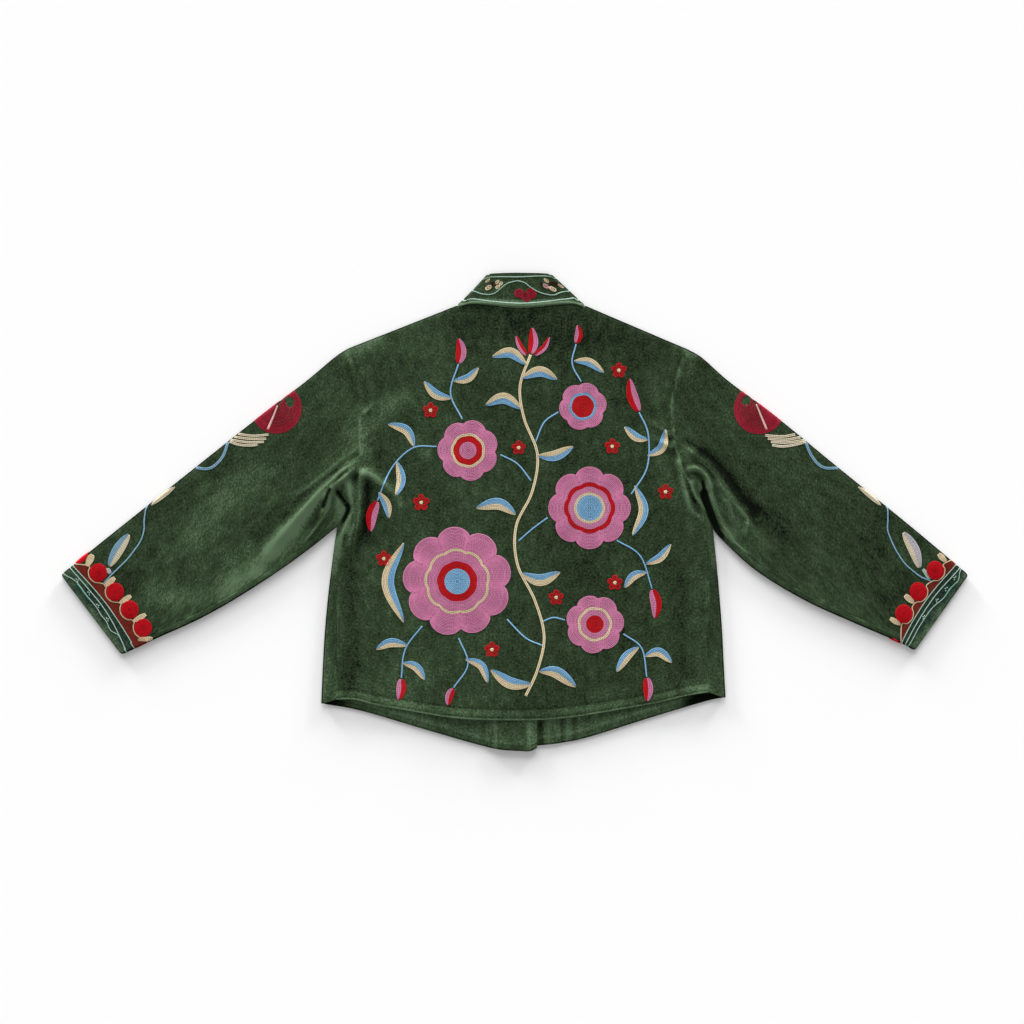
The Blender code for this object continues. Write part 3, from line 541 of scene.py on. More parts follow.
def napAndLightOf(stations, points, away):
    reach = napAndLightTone["reach"]
    right, left, above, below = (upperLayer(stations.base + np.array(step) * reach)
                                 for step in ((1, 0), (-1, 0), (0, 1), (0, -1)))
    ridge = upperLayer(stations.base) - (right + left + above + below) / 4
    ridge = np.clip(ridge, -napAndLightTone["highest"], napAndLightTone["highest"])
    slope = np.hypot(right - left, above - below) / (2 * reach)
    # painted highlight on ridges and steep slopes, painted shade in troughs
    raised = np.where(ridge > 0, napAndLightTone["ridge"], napAndLightTone["trough"]) * ridge
    raised = raised + np.clip(slope - napAndLightTone["flat"], 0, 1) * napAndLightTone["slope"]
    height = np.sin(stations.angle)
    steep = np.abs(height)
    # painted highlight in random spots beside each seam
    seamHighlightSpots = np.clip(0.45 + 0.9 * softNoise(points[..., :2], 9.0, 8), 0, 1.3)
    seam = napAndLightTone["seam"] * seamHighlightSpots * hump(away, 2.6)
    tone = napAndLightTone["plain"] + np.clip(height, 0, 1) * (raised + napAndLightZoneTone(stations.base)) + seam
    # painted shade on each side of a fold, and a thin painted highlight inside it
    tone = tone - napAndLightTone["foldEdgeShade"] * smoothStep(0.95, 0.75, steep)
    return tone + napAndLightTone["foldRimHighlight"] * ((steep > 0.9) & (steep < 0.99))


def hemLightAndShade(fromHem):
    # the hem's painted highlight and shade, and the turned-up cloth a little lighter between its lines
    return toneBands(fromHem, hemLightAndShadeBands) + 0.2 * smoothStep(15, 12, fromHem) * smoothStep(3, 6, fromHem)


def insideLightAndShade(places, fromHem):
    # painted shade in a dark rim along the hem's edge, a darker turned-up hem and its light stitches, the
    # upright marks of painted highlight and shade, and painted shade in the two mouths
    x, turnUp = places[..., 0], hemInside["turnUp"]
    tone = 0.38 - 0.16 * smoothStep(turnUp + 1, turnUp - 1, fromHem)
    tone = tone + toneBands(fromHem, [(0, 1.6, -0.8), (turnUp, 1.4, 0.34)]) + toneBands(x, hemInside["lightAndShadeMarks"])
    first, last = hemInside["mouths"]
    tone = tone - 0.9 * (smoothStep(first, first - 34, x) + smoothStep(last, last + 30, x))
    return tone * smoothStep(hemInside["top"] + 6, hemInside["top"], places[..., 1])


def roundedEdge(distance, wall):
    radius = wall / 2
    off = np.clip(1 - distance / radius, 0, 1)
    return radius * 0.9 * (1 - np.sqrt(1 - off ** 2))


def pullSeams(surface):
    # half a seam gap at each open edge, square to the edge
    pull = {}
    for edge in surface.edges:
        if len(edge.link_faces) != 1:
            continue
        along = (edge.verts[1].co - edge.verts[0].co).normalized()
        inward = edge.link_faces[0].calc_center_median() - (edge.verts[0].co + edge.verts[1].co) / 2
        inward = (inward - inward.dot(along) * along).normalized()
        for vertex in edge.verts:
            pull.setdefault(vertex, []).append(inward)
    shifts = {}
    for vertex, inwards in pull.items():
        total = inwards[0] if len(inwards) == 1 else inwards[0] + inwards[1]
        shifts[vertex] = total * (cloth["seamGap"] / 2 / max(total.length_squared / len(inwards), 0.12))
    return shifts


def clothShell(name, stations, wall, underside, material, cells=None, depth=0.0, toneLightAndShade=0.0):
    cells = allCells(stations) if cells is None else cells
    columns, rows = cells.shape
    plain = settle(stations, 0.0, underside)
    away = borderDistance(plain, cells)
    drop = roundedEdge(away, np.min(wall))
    outer = settle(stations, depth + drop, underside)
    inner = settle(stations, depth + wall - drop, underside)
    outer[..., 2] = np.maximum(outer[..., 2], 0)
    inner[..., 2] = np.maximum(inner[..., 2], 0.05)
    # the pile's tone with its painted highlights and shade
    brushed = napAndLightOf(stations, plain, away) + toneLightAndShade
    u, v = lengthsAlong(plain, 0), lengthsAlong(plain, 1)
    u = u - u[columns // 2]

    surface = bmesh.new()
    column = surface.verts.layers.int.new("column")
    row = surface.verts.layers.int.new("row")
    shift = surface.verts.layers.float_vector.new("shift")
    napAndLightLayer = surface.verts.layers.float.new("nap")
    bmesh.ops.create_grid(surface, x_segments=columns, y_segments=rows, size=1.0)
    for vertex in surface.verts:
        vertex[column] = round((vertex.co.x + 1) / 2 * columns)
        vertex[row] = round((vertex.co.y + 1) / 2 * rows)
        vertex[napAndLightLayer] = brushed[vertex[column], vertex[row]]
        vertex.co = outer[vertex[column], vertex[row]]
    spare = [face for face in surface.faces
             if not cells[min(v[column] for v in face.verts), min(v[row] for v in face.verts)]]
    bmesh.ops.delete(surface, geom=spare, context="FACES")
    for vertex, pulled in pullSeams(surface).items():
        vertex[shift] = pulled
    made = bmesh.ops.extrude_face_region(surface, geom=surface.faces[:], use_keep_orig=True)
    for vertex in made["geom"]:
        if isinstance(vertex, bmesh.types.BMVert):
            vertex.co = inner[vertex[column], vertex[row]]
    uvLayer = surface.loops.layers.uv.new("cut")
    for face in surface.faces:
        for loop in face.loops:
            place = loop.vert[column], loop.vert[row]
            loop[uvLayer].uv = (u[place] * mm, v[place] * mm)
    for vertex in surface.verts:
        vertex.co += vertex[shift]
    return addPiece(name, surface, material)


# Shader nodes: Wire lets a socket be used in sums, and Finish adds the nodes

class Wire:
    def __init__(self, finish, socket):
        self.finish = finish
        self.socket = socket

    def sum(self, operation, *values, **settings):
        settings["operation"] = operation
        return self.finish.node("ShaderNodeMath", settings, dict(enumerate(values)))

    def __add__(self, other):
        return self.sum("ADD", self, other)

    def __sub__(self, other):
        return self.sum("SUBTRACT", self, other)

    def __mul__(self, other):
        return self.sum("MULTIPLY", self, other)

    def clamped(self):
        return self.sum("ADD", self, 0.0, use_clamp=True)


class Finish:
    def __init__(self, name):
        self.material = bpy.data.materials.new(name)
        self.material.use_nodes = True
        self.nodes = self.material.node_tree.nodes
        self.links = self.material.node_tree.links
        self.shader = self.nodes["Principled BSDF"]

    def put(self, socket, value):
        if isinstance(value, Wire):
            self.links.new(value.socket, socket)
        elif isinstance(value, tuple) and len(value) == 3 and socket.type == "RGBA":
            socket.default_value = (*value, 1.0)
        else:
            socket.default_value = value

    def node(self, kind, settings, values, output=0):
        made = self.nodes.new(kind)
        for name, setting in settings.items():
            if name == "stops":
                while len(made.color_ramp.elements) < len(setting):
                    made.color_ramp.elements.new(1.0)
                for element, (position, colour) in zip(made.color_ramp.elements, setting):
                    element.position = position
                    element.color = (*colour, 1.0)
            else:
                setattr(made, name, setting)
        for name, value in values.items():
            self.put(made.inputs[name], value)
        return Wire(self, made.outputs[output])

    def shade(self, values):
        for name, value in values.items():
            self.put(self.shader.inputs[name], value)

    def noise(self, place, scale, detail, roughness):
        return self.node("ShaderNodeTexNoise", {},
                         {"Vector": place, "Scale": scale, "Detail": detail, "Roughness": roughness})

    def stretched(self, place, scale):
        return self.node("ShaderNodeMapping", {}, {"Vector": place, "Scale": scale})


def velvetFinish(name, look):
    finish = Finish(name)
    cut = finish.node("ShaderNodeUVMap", {"uv_map": "cut"}, {})
    # this tone carries the painted highlights and shade of each piece as well as its pile
    nap = finish.node("ShaderNodeAttribute", {"attribute_name": "nap"}, {}, "Fac")
    # the pile's bands and strokes run up the cloth, so their noise is stretched that way
    bands = finish.noise(finish.stretched(cut, (1.0, 0.55, 1.0)), look["bandScale"], 3.0, 0.55)
    brushed = finish.noise(finish.stretched(cut, (1.0, 0.6, 1.0)), look["brushScale"], 3.0, 0.6)
    mottle = finish.noise(cut, look["mottleScale"], 3.0, 0.7)
    pile = finish.noise(cut, look["pileScale"], 1.0, 0.5)
    tone = nap + (bands - 0.5) * look["bands"] + (brushed - 0.5) * look["brushed"]
    tone = tone + (mottle - 0.5) * look["mottle"]
    colour = finish.node("ShaderNodeValToRGB", {"stops": look["stops"]}, {"Fac": tone.clamped()})
    bump = finish.node("ShaderNodeBump", {}, {**look["relief"], "Height": pile * 0.5 + mottle})
    finish.shade({"Base Color": colour, **look["surface"], "Normal": bump,
                  "Sheen Weight": look["sheen"], "Sheen Roughness": look["sheenRoughness"],
                  "Sheen Tint": look["sheenTint"]})
    return finish.material


velvetLook = {
    "stops": [(0.0, (0.0022, 0.0040, 0.0020)), (0.09, (0.0095, 0.0152, 0.0077)),
              (0.25, (0.0177, 0.0297, 0.0141)), (0.4, (0.0246, 0.0419, 0.0195)),
              (0.55, (0.0351, 0.0594, 0.0285)), (0.7, (0.0501, 0.0841, 0.0423)),
              (0.85, (0.0711, 0.1161, 0.0611)), (1.0, (0.1021, 0.1621, 0.0911))],
    "bandScale": 13.0, "bands": 0.6,
    "brushScale": 85.0, "brushed": 0.75,
    "mottleScale": 330.0, "mottle": 1.75,
    "pileScale": 1500.0,
    "sheen": 0.07, "sheenRoughness": 0.4, "sheenTint": (0.55, 0.80, 0.52),
    "relief": {"Strength": 0.35, "Distance": 0.0007},
    "surface": {"Roughness": 0.92, "Specular IOR Level": 0.03},
}
cuffLook = {
    **velvetLook,
    "stops": [(0.0, (0.0040, 0.0070, 0.0052)), (0.25, (0.0150, 0.0265, 0.0198)),
              (0.4, (0.0190, 0.0365, 0.0258)), (0.55, (0.0320, 0.0537, 0.0338)),
              (0.7, (0.0530, 0.0827, 0.0478)), (0.85, (0.0740, 0.1150, 0.0660)),
              (1.0, (0.1050, 0.1630, 0.0980))],
}
greenVelvet = velvetFinish("green_velvet", velvetLook)
blueGreenVelvet = velvetFinish("blue_green_velvet", cuffLook)

# How finely each piece is divided: how many steps, and the length they run over where
# the first or the last ones are close, for a rounded edge
fine = {
    "foldTurn": 6,
    "backSide": (92, 262.0), "backArmhole": (112, 240.0), "backShoulder": (62, 180.0), "backNeck": 44,
    "frontSide": (64, 262.0), "frontArmhole": 26, "frontShoulder": 30, "frontNeck": (52, 150.0),
    "frontStrip": (6, 20.0),
    "sleeveRings": (165, 510.0), "sleeveUpper": (130, 240.0), "sleeveLower": 34, "sleeveStrip": (6, 16.0),
    "cuffRings": (14, 36.0), "collarRows": (28, 46.0),
}


# Lines that several pieces share

def armholeLine(side):
    upper = smoothLine([side["shoulderTip"], *side["armhole"], side["underarm"]])
    return np.vstack([upper, side["armpit"]])


def underarmInset(side):
    return float(np.linalg.norm(np.subtract(side["underarm"], side["armpit"])))


def armholeStretch(side, shares, inset):
    # from this far before the armpit up to the shoulder's fold
    line = armholeLine(side)
    start = fullLength(line) - inset
    return atDistance(line, start + (foldReach - start) * shares)


def shoulderLines(side, shares):
    # the shoulder seam on the fold, and the same stations set in by the fold's reach
    tips = atShares(np.array([side["shoulderTip"], side["collarTurn"]], float), shares)
    atArmhole = unit(armholeStretch(side, np.array([1.0]), underarmInset(side))[0] - tips[0])
    atNeck = -leftOf(unit(tips[-1] - tips[0])) * side["sign"]
    share = np.asarray(shares)[:, None]
    inward = unit((1 - share) * atArmhole + share * atNeck)
    return tips, tips + inward * foldReach


def sideSeam(side, shares):
    return atShares(smoothLine([side["underarm"], *side["sideSeam"]])[::-1], shares)


def neckEnd(side):
    return shoulderLines(side, np.array([0.0, 1.0]))[1][-1]


def backNeckline(shares):
    return atShares(smoothLine([neckEnd(leftSide), *collarRows[0].back, neckEnd(rightSide)]), shares)


def frontNeckCurve(side, start, reach, low, shares):
    # from the shoulder to this front's edge, which passes the centre by the button stand
    sign, centre, drop = side["sign"], cloth["centreX"], start[1] - low
    line = smoothLine([start, (centre - sign * reach * 1.25, low + drop * 0.46),
                       (centre - sign * reach * 0.62, low + drop * 0.12), (centre, low),
                       (centre + sign * cloth["buttonStand"], low + 1.5)])
    return atShares(line, shares)


def quarterTurn(inset, tips, sign):
    # rows that turn from a layer (sign +1 the upper one) to the middle of a fold
    angles = sign * np.linspace(quarter, 0, fine["foldTurn"] + 1)[1:]
    base = np.repeat(inset[:, None], len(angles), axis=1)
    turn = np.repeat(unit(tips - inset)[:, None], len(angles), axis=1)
    return Stations(base, turn, np.tile(angles, (len(inset), 1)))


def hemWall(stations, reach):
    # the hem is turned up, so the wall is thicker over its depth
    flat = np.abs(stations.angle) > quarter - 0.01
    return cloth["velvet"] + cloth["hemTurnUp"] * flat * smoothStep(1.08, 1.0, reach / cloth["hemDepth"])


def fromHemOf(up, length):
    # distances from the hem, for rows up the panel and then those of its turned edge
    return np.concatenate([up * length, np.full(fine["foldTurn"], 999.0)])[None, :]


def sleeveFolds(side):
    # the top fold and the lower one, from the armhole to the cuff's edge
    return (smoothLine([side["shoulderTip"], *side["sleeveTop"]]),
            smoothLine([side["armpit"], *side["sleeveLow"], side["cuffLow"]]))


def makeBack():
    sideShares = spacedShares(*fine["backSide"], 1.15, closeEnd=False)
    armShares = spacedShares(*fine["backArmhole"], closeStart=False, closeEnd=False)
    shoulderShares = spacedShares(*fine["backShoulder"], 1.35, closeEnd=False)
    neckShares = np.linspace(0, 1, fine["backNeck"] + 1)
    seams, shoulders = [], []
    for side in (leftSide, rightSide):
        armhole = armholeStretch(side, armShares, underarmInset(side))
        seams.append(np.vstack([sideSeam(side, sideShares)[:-1], armhole]))
        shoulders.append(shoulderLines(side, shoulderShares))
    left, right = seams
    (leftTips, leftInset), (rightTips, rightInset) = shoulders
    neck = backNeckline(neckShares)
    top = np.vstack([leftInset[:-1], neck[:-1], rightInset[::-1]])
    tips = np.vstack([leftTips, neck[1:-1], rightTips[::-1]])
    across, up = sharesAlong(top), sharesAlong(left)
    low = atShares(smoothLine(backHem), across)
    low[0], low[-1] = left[0], right[0]
    flat = flatStations(coonsPatch(low, top, left, right, across, up), True)
    stations = joinStations([flat, quarterTurn(top, tips, 1)], axis=1)
    cells = allCells(stations)
    cells[len(shoulderShares) - 1: len(shoulderShares) + len(neckShares) - 2, len(up) - 1:] = False
    fromHem = fromHemOf(up, fullLength(left))
    piece = clothShell("back_panel", stations, hemWall(stations, fromHem), lowLayer, greenVelvet,
                       cells, toneLightAndShade=hemLightAndShade(fromHem))
    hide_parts("back")


def frontStations(side, sideShares, armShares, shoulderShares, neckShares):
    tips = atShares(smoothLine([side["armpit"], *side["sideFold"]])[::-1], sideShares)
    line = armholeLine(side)
    armpitInset = atDistance(line, fullLength(line) - foldReach)
    share = smoothStep(0.45, 1.0, sideShares)[:, None]
    out = unit((1 - share) * np.array([-side["sign"], 0.0]) + share * unit(tips[-1] - armpitInset))
    inset = tips - out * foldReach
    inset[-1] = armpitInset
    steps = spacedShares(*fine["frontStrip"], closeEnd=False)[:-1, None, None]
    strip = flatStations((1 - steps) * sideSeam(side, sideShares) + steps * inset, True)
    turns = np.linspace(quarter, -quarter, 2 * fine["foldTurn"] + 1)[:-1]
    fold = Stations(np.tile(inset, (len(turns), 1, 1)), np.tile(out, (len(turns), 1, 1)),
                    np.tile(turns[:, None], (1, len(sideShares))))
    beside = joinStations([strip, fold], axis=0)
    spare = len(armShares) - 1 + fine["foldTurn"]
    beside = Stations(*(np.concatenate([a, np.repeat(a[:, -1:], spare, axis=1)], axis=1) for a in beside))
    tipsTop, insetTop = shoulderLines(side, shoulderShares)
    neck = frontNeckCurve(side, neckEnd(side), collarRows[0].frontSide, collarRows[0].frontLow, neckShares)
    top = np.vstack([insetTop[:-1], neck])
    outer = np.vstack([inset[:-1], armholeStretch(side, armShares, foldReach)])
    across, up = sharesAlong(top), sharesAlong(outer)
    low = atShares(smoothLine(side["frontHem"]), across)
    low[0] = outer[0]
    edge = low[-1] + up[:, None] * (neck[-1] - low[-1])
    flat = flatStations(coonsPatch(low, top, outer, edge, across, up), False)
    topTurn = quarterTurn(top, np.vstack([tipsTop, neck[1:]]), -1)
    panel = joinStations([flat, topTurn], axis=1)
    return joinStations([beside, panel], axis=0), len(turns) + len(steps), fromHemOf(up, fullLength(outer))


def makeFront(name, side, underside):
    sideShares = spacedShares(*fine["frontSide"], 1.3, closeEnd=False)
    armShares = np.linspace(0, 1, fine["frontArmhole"] + 1)
    shoulderShares = np.linspace(0, 1, fine["frontShoulder"] + 1)
    neckShares = spacedShares(*fine["frontNeck"], closeStart=False)
    stations, firstPanel, fromHem = frontStations(side, sideShares, armShares, shoulderShares, neckShares)
    armpitRow = len(sideShares) - 1
    shoulderRow = armpitRow + len(armShares) - 1
    cells = allCells(stations)
    cells[:firstPanel, armpitRow:] = False
    cells[firstPanel + len(shoulderShares) - 1:, shoulderRow:] = False
    # painted shade and highlights on the inside of the fronts under the back's hem
    toneLightAndShade = insideLightAndShade(stations.base, fromHem) * (np.sin(stations.angle) < -0.9)
    piece = clothShell(f"{name}_panel", stations, hemWall(stations, fromHem), underside, greenVelvet,
                       cells, toneLightAndShade=toneLightAndShade)
    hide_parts(name)
    inFacing = int(np.sum(neckShares > 0.499))
    return stations.base[-inFacing:, :shoulderRow + 1], toneLightAndShade[-inFacing:, :shoulderRow + 1]


# The strips inside the two front edges
facingCut = {"flat": (0.075, 0.620), "area": 0.043, "short": 2.0}


def makeFacing(name, base, toneLightAndShade, underside):
    # made from the front's own points, moved in, and ended short of the neck
    base = base.copy()
    base[:, -1] += unit(base[:, -2] - base[:, -1]) * facingCut["short"]
    depth = cloth["velvet"] + cloth["seamGap"] + cloth["hemTurnUp"]
    piece = clothShell(f"{name}_strip", flatStations(base, False), cloth["facing"], underside, greenVelvet,
                       depth=depth, toneLightAndShade=toneLightAndShade)
    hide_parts(name)


# Sleeves and cuffs, each a flattened tube with one seam near its lower fold
cuff = {"flat": (0.300, 0.036), "area": 0.0106, "corner": 5.0}


def tubeLines(side, shares):
    # flattened rings between the two folds: shares 0 to 1 are the sleeve, 1 to 2 the cuff
    topLine, lowLine = sleeveFolds(side)
    cuffWidth = cloth["cuffWidth"]

    def ringsAlong(line):
        sleeveLength = fullLength(line) - cuffWidth
        return np.where(shares <= 1, shares * sleeveLength, sleeveLength + (shares - 1) * cuffWidth)

    along = ringsAlong(topLine)
    up = along / fullLength(topLine)
    around = np.linspace(0, 1, 61)
    armhole = atShares(armholeLine(side), around)
    cuffEdge = atShares(np.array([side["sleeveTop"][-1], side["cuffLow"]], float), around)
    top, low = atDistance(topLine, along), atDistance(lowLine, ringsAlong(lowLine))
    inset = np.interp(up, *zip(*sleeveSeam))
    inset = inset + (underarmInset(side) - inset[0]) * np.exp(-along / 14)
    return coonsPatch(armhole, cuffEdge, top, low, around, up), inset


def ringStations(line, seamInset, trim):
    line = atDistance(line, np.linspace(trim, fullLength(line) - trim, len(line)))
    full = fullLength(line)
    near, far = atDistance(line, [foldReach, full - foldReach])
    turns = np.linspace(quarter, -quarter, 2 * fine["foldTurn"] + 1)[1:-1]
    seamShares = spacedShares(*fine["sleeveUpper"], 1.25, closeEnd=False)
    stripShares = spacedShares(*fine["sleeveStrip"], closeStart=False)
    upper = atDistance(line, full - seamInset + (foldReach - full + seamInset) * seamShares)
    lower = atDistance(line, np.linspace(foldReach, full - foldReach, fine["sleeveLower"] + 1))
    strip = atDistance(line, full - foldReach + (foldReach - seamInset) * stripShares)
    ring = joinStations([flatStations(upper, True), foldTurn(near, unit(line[0] - near), turns),
                         flatStations(lower, False), foldTurn(far, unit(line[-1] - far), -turns),
                         flatStations(strip, True)], axis=0)
    return Stations(*(part[:, None] for part in ring))


def makeTube(name, side, shares, material, node, toneLightAndShade=0.0):
    # the rings of the whole sleeve are needed, because they blend from armhole to cuff
    every = np.concatenate([[0.0], shares, [2.0]])
    ground, inset = tubeLines(side, every)
    fromEdge = np.clip((2 - every) * cloth["cuffWidth"] / cuff["corner"], 0, 1)
    trims = cuff["corner"] * (1 - np.sqrt(1 - (1 - fromEdge) ** 2)) * 0.8
    rings = [ringStations(ground[:, j], inset[j], trims[j]) for j in range(1, len(every) - 1)]
    stations = joinStations(rings, axis=1)
    piece = clothShell(name, stations, cloth["velvet"], lowLayer, material, toneLightAndShade=toneLightAndShade)
    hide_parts(node)


def makeSleeve(name, side):
    rings = spacedShares(*fine["sleeveRings"], 1.22)
    makeTube(f"sleeve_{name}_tube", side, rings, greenVelvet, f"sleeve_{name}")
    rings = 1 + spacedShares(*fine["cuffRings"])
    fromEdge = (2 - rings) * cloth["cuffWidth"]
    toneLightAndShade = 0.22 * hump(fromEdge - 4, 4) - 0.08 * smoothStep(8, 16, fromEdge)
    makeTube(f"cuff_{name}_band", side, rings, blueGreenVelvet, f"cuff_{name}", toneLightAndShade)


# The stand collar: its back lies over the neck, its two front halves lie under it
collar = {
    "flat": (0.520, 0.047), "area": 0.0227, "proud": 1.4, "roll": 1.5, "rollWidth": 6.5,
    # painted highlights on the rolled seam and painted shade beside it: distance from it, width and amount
    "bands": [(1.6, 1.0, 0.34), (5.2, 0.9, 0.272), (7.6, 0.9, -0.2)],
}


def collarLine(height):
    # left turn, line over the back, right turn, reach and depth of the fronts
    heights, *columns = zip(*collarRows)
    flat = [interpolate(height, heights, np.reshape(values, (len(heights), -1))) for values in columns]
    return [np.reshape(found, np.shape(values)[1:]) for found, values in zip(flat, columns)]


def makeCollar():
    turns = np.linspace(-quarter, quarter, 2 * fine["foldTurn"] + 1)[1:-1]
    overShares = np.linspace(0, 1, fine["backNeck"] + 1)
    halfShares = spacedShares(*fine["frontNeck"], closeStart=False)
    rows = []
    for height in spacedShares(*fine["collarRows"]):
        left, over, right, reach, low = collarLine(height)
        swing = smoothStep(0.0, 0.35, height)
        ends = []
        for side, end in ((leftSide, left), (rightSide, right)):
            tips, inset = shoulderLines(side, np.array([0.0, 1.0]))
            turn = unit(tips[-1] - inset[-1])
            out = unit((1 - swing) * turn + swing * np.array([-side["sign"], 0.05]))
            start = end - out * foldReach
            ends.append((start, out, frontNeckCurve(side, start, reach, low, halfShares)))
        (startLeft, outLeft, leftHalf), (startRight, outRight, rightHalf) = ends
        over = atShares(smoothLine([startLeft, *over, startRight]), overShares)
        rows.append(joinStations([flatStations(leftHalf[::-1], False), foldTurn(over[0], outLeft, turns),
                                  flatStations(over, True), foldTurn(over[-1], outRight, turns[::-1]),
                                  flatStations(rightHalf, False)], axis=0))
    stations = Stations(*(np.stack(arrays, axis=1) for arrays in zip(*rows)))
    isLeft = (np.arange(len(stations.angle)) < len(stations.angle) // 2)[:, None]

    def underside(places):
        # the collar's left half lies over its right half, as the fronts do
        return lowLayer(places) + isLeft * climb(places, cloth["collar"] + 2 * cloth["seamGap"] + 1.2, 30)

    facingUp = np.maximum(np.sin(stations.angle), 0.0)
    fromSeam = lengthsAlong(stations.base, 1)
    roll = collar["roll"] * np.sin(np.clip(fromSeam / collar["rollWidth"], 0, 1) * math.pi) ** 0.8
    depth = -(collar["proud"] + roll) * facingUp
    # painted highlight on the rolled lower edge, painted shade in its groove and along the top edge; the band
    # is also lighter near its lower seam
    tone = 0.10 + 0.56 * smoothStep(13, 9, fromSeam) + toneBands(fromSeam, collar["bands"])
    toneLightAndShade = facingUp * (tone - 0.6 * hump(fromSeam[:, -1:] - fromSeam, 1.5))
    piece = clothShell("collar_band", stations, cloth["collar"], underside, greenVelvet,
                       depth=depth, toneLightAndShade=toneLightAndShade)
    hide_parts("collar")
    return stations, underside, depth


# Buttons lie face down on the centre front, under the jacket. Their profile runs out
# from the middle of the face, by share of the radius and height
button = {
    "radius": 9.0, "height": 2.6, "count": 5, "topY": 185, "lowY": -255,
    "profile": [(0.0, 0.9), (0.55, 0.9), (0.66, 0.75), (0.74, 0.25), (0.80, 0.04), (0.88, 0.0),
                (0.96, 0.15), (1.0, 0.6), (1.0, 1.7), (0.96, 2.2)],
}


def makeButton(number, y):
    # a turned disc with a raised rim
    radius, height = button["radius"], button["height"]
    surface = bmesh.new()
    profile = [*button["profile"], (0.86, height), (0.0, height)]
    ring = [surface.verts.new((share * radius, 0.0, z)) for share, z in profile]
    edges = [surface.edges.new(pair) for pair in zip(ring, ring[1:])]
    bmesh.ops.spin(surface, geom=ring + edges, axis=(0, 0, 1), cent=(0, 0, 0), angle=2 * math.pi, steps=48,
                   use_merge=True)
    bmesh.ops.remove_doubles(surface, verts=surface.verts[:], dist=1e-4)
    bmesh.ops.translate(surface, verts=surface.verts[:], vec=(cloth["centreX"], y, 0.0))
    piece = addPiece(f"button_{number}_disc", surface, hornFinish)
    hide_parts(f"button_{number}")


# Floor, light and camera
studio = {
    "lens": 100.0, "sensor": 36.0, "across": 1536.0, "middle": (-4.05, 0.0),
    "floorDrop": 1.8, "sky": 0.26,
    # strength, height over the floor, direction it comes from and its spread: three from
    # over the collar, whose shadows fall past the hem, and one high one that fills in
    "suns": [(2.5, 28.0, 92.0, 50.0), (2.6, 9.3, 60.0, 13.0), (2.6, 9.3, 124.0, 13.0),
             (0.6, 80.0, 270.0, 60.0)],
}


def makeFloor():
    surface = bmesh.new()
    bmesh.ops.create_grid(surface, x_segments=1, y_segments=1, size=6.0)
    bmesh.ops.translate(surface, verts=surface.verts[:], vec=(0, 0, -studio["floorDrop"] * mm))
    finish = Finish("pale_floor")
    finish.shade({"Base Color": (0.91, 0.91, 0.91), "Roughness": 1.0, "Specular IOR Level": 0.0})
    addMesh("floor", surface, finish.material)


def addSun(number, strength, height, turn, spread):
    lamp = bpy.data.lights.new(f"softbox_{number}", "SUN")
    lamp.energy = strength
    lamp.angle = math.radians(spread)
    made = addObject(f"softbox_{number}", lamp)
    height, turn = math.radians(height), math.radians(turn)
    flat = math.cos(height)
    made.location = (flat * math.cos(turn), flat * math.sin(turn), math.sin(height))
    made.rotation_euler = (-made.location).to_track_quat("-Z", "Y").to_euler()


def makeStudio():
    scene = bpy.context.scene
    world = bpy.data.worlds.new("studio")
    scene.world = world
    world.use_nodes = True
    world.node_tree.nodes["Background"].inputs["Color"].default_value = (1, 1, 1, 1)
    world.node_tree.nodes["Background"].inputs["Strength"].default_value = studio["sky"]
    for number, sun in enumerate(studio["suns"], start=1):
        addSun(number, *sun)
    camera = bpy.data.cameras.new("above")
    camera.lens, camera.sensor_width = studio["lens"], studio["sensor"]
    made = addObject("above", camera)
    x, y = studio["middle"]
    made.location = (x * mm, y * mm, studio["across"] * mm * studio["lens"] / studio["sensor"])
    scene.camera = made
    scene.view_settings.view_transform = "Standard"


# Thread work. A row is a line on the cloth in a chart's own two coordinates, with its
# width and how far it lies above the cloth; the loops of chain stitch are raised on it
Row = namedtuple("Row", "line width over")
stitch = {
    "length": 3.4, "pitch": 2.15, "height": 0.8, "sink": 0.45, "perLoop": 2, "under": 0.3, "shortest": 1.5,
}
topstitching = {"pitch": 4.4, "length": 3.0, "width": 1.1, "height": 0.35}

# Across a row: share of its half width, and height share of the two strands
strands = [(-1.0, 0.0), (-0.62, 1.0), (0.0, 0.5), (0.62, 1.0), (1.0, 0.0)]

threadColours = {
    "pink": ((0.50, 0.135, 0.275), (0.66, 0.25, 0.42)),
    "red": ((0.38, 0.0008, 0.004), (0.62, 0.004, 0.014)),
    "crimson": ((0.20, 0.0025, 0.014), (0.38, 0.009, 0.038)),
    "maroon": ((0.045, 0.020, 0.010), (0.22, 0.010, 0.024)),
    "ivory": ((0.54, 0.44, 0.30), (0.74, 0.67, 0.51)),
    "greyBlue": ((0.115, 0.25, 0.37), (0.27, 0.44, 0.56)),
    "blush": ((0.50, 0.24, 0.24), (0.74, 0.46, 0.44)),
    "peach": ((0.58, 0.32, 0.19), (0.84, 0.56, 0.38)),
    "mauve": ((0.34, 0.32, 0.36), (0.60, 0.58, 0.64)),
    "blue": ((0.12, 0.30, 0.50), (0.28, 0.51, 0.75)),
    "cream": ((0.60, 0.46, 0.27), (0.80, 0.68, 0.46)),
    "pale": ((0.27, 0.42, 0.34), (0.46, 0.62, 0.53)),
    "brick": ((0.115, 0.007, 0.005), (0.23, 0.020, 0.010)),
    "teal": ((0.016, 0.14, 0.095), (0.06, 0.34, 0.23)),
    "green": ((0.030, 0.052, 0.024), (0.080, 0.125, 0.066)),
    "moss": ((0.060, 0.10, 0.048), (0.12, 0.19, 0.095)),
    "dark": ((0.018, 0.008, 0.005), (0.05, 0.02, 0.012)),
}


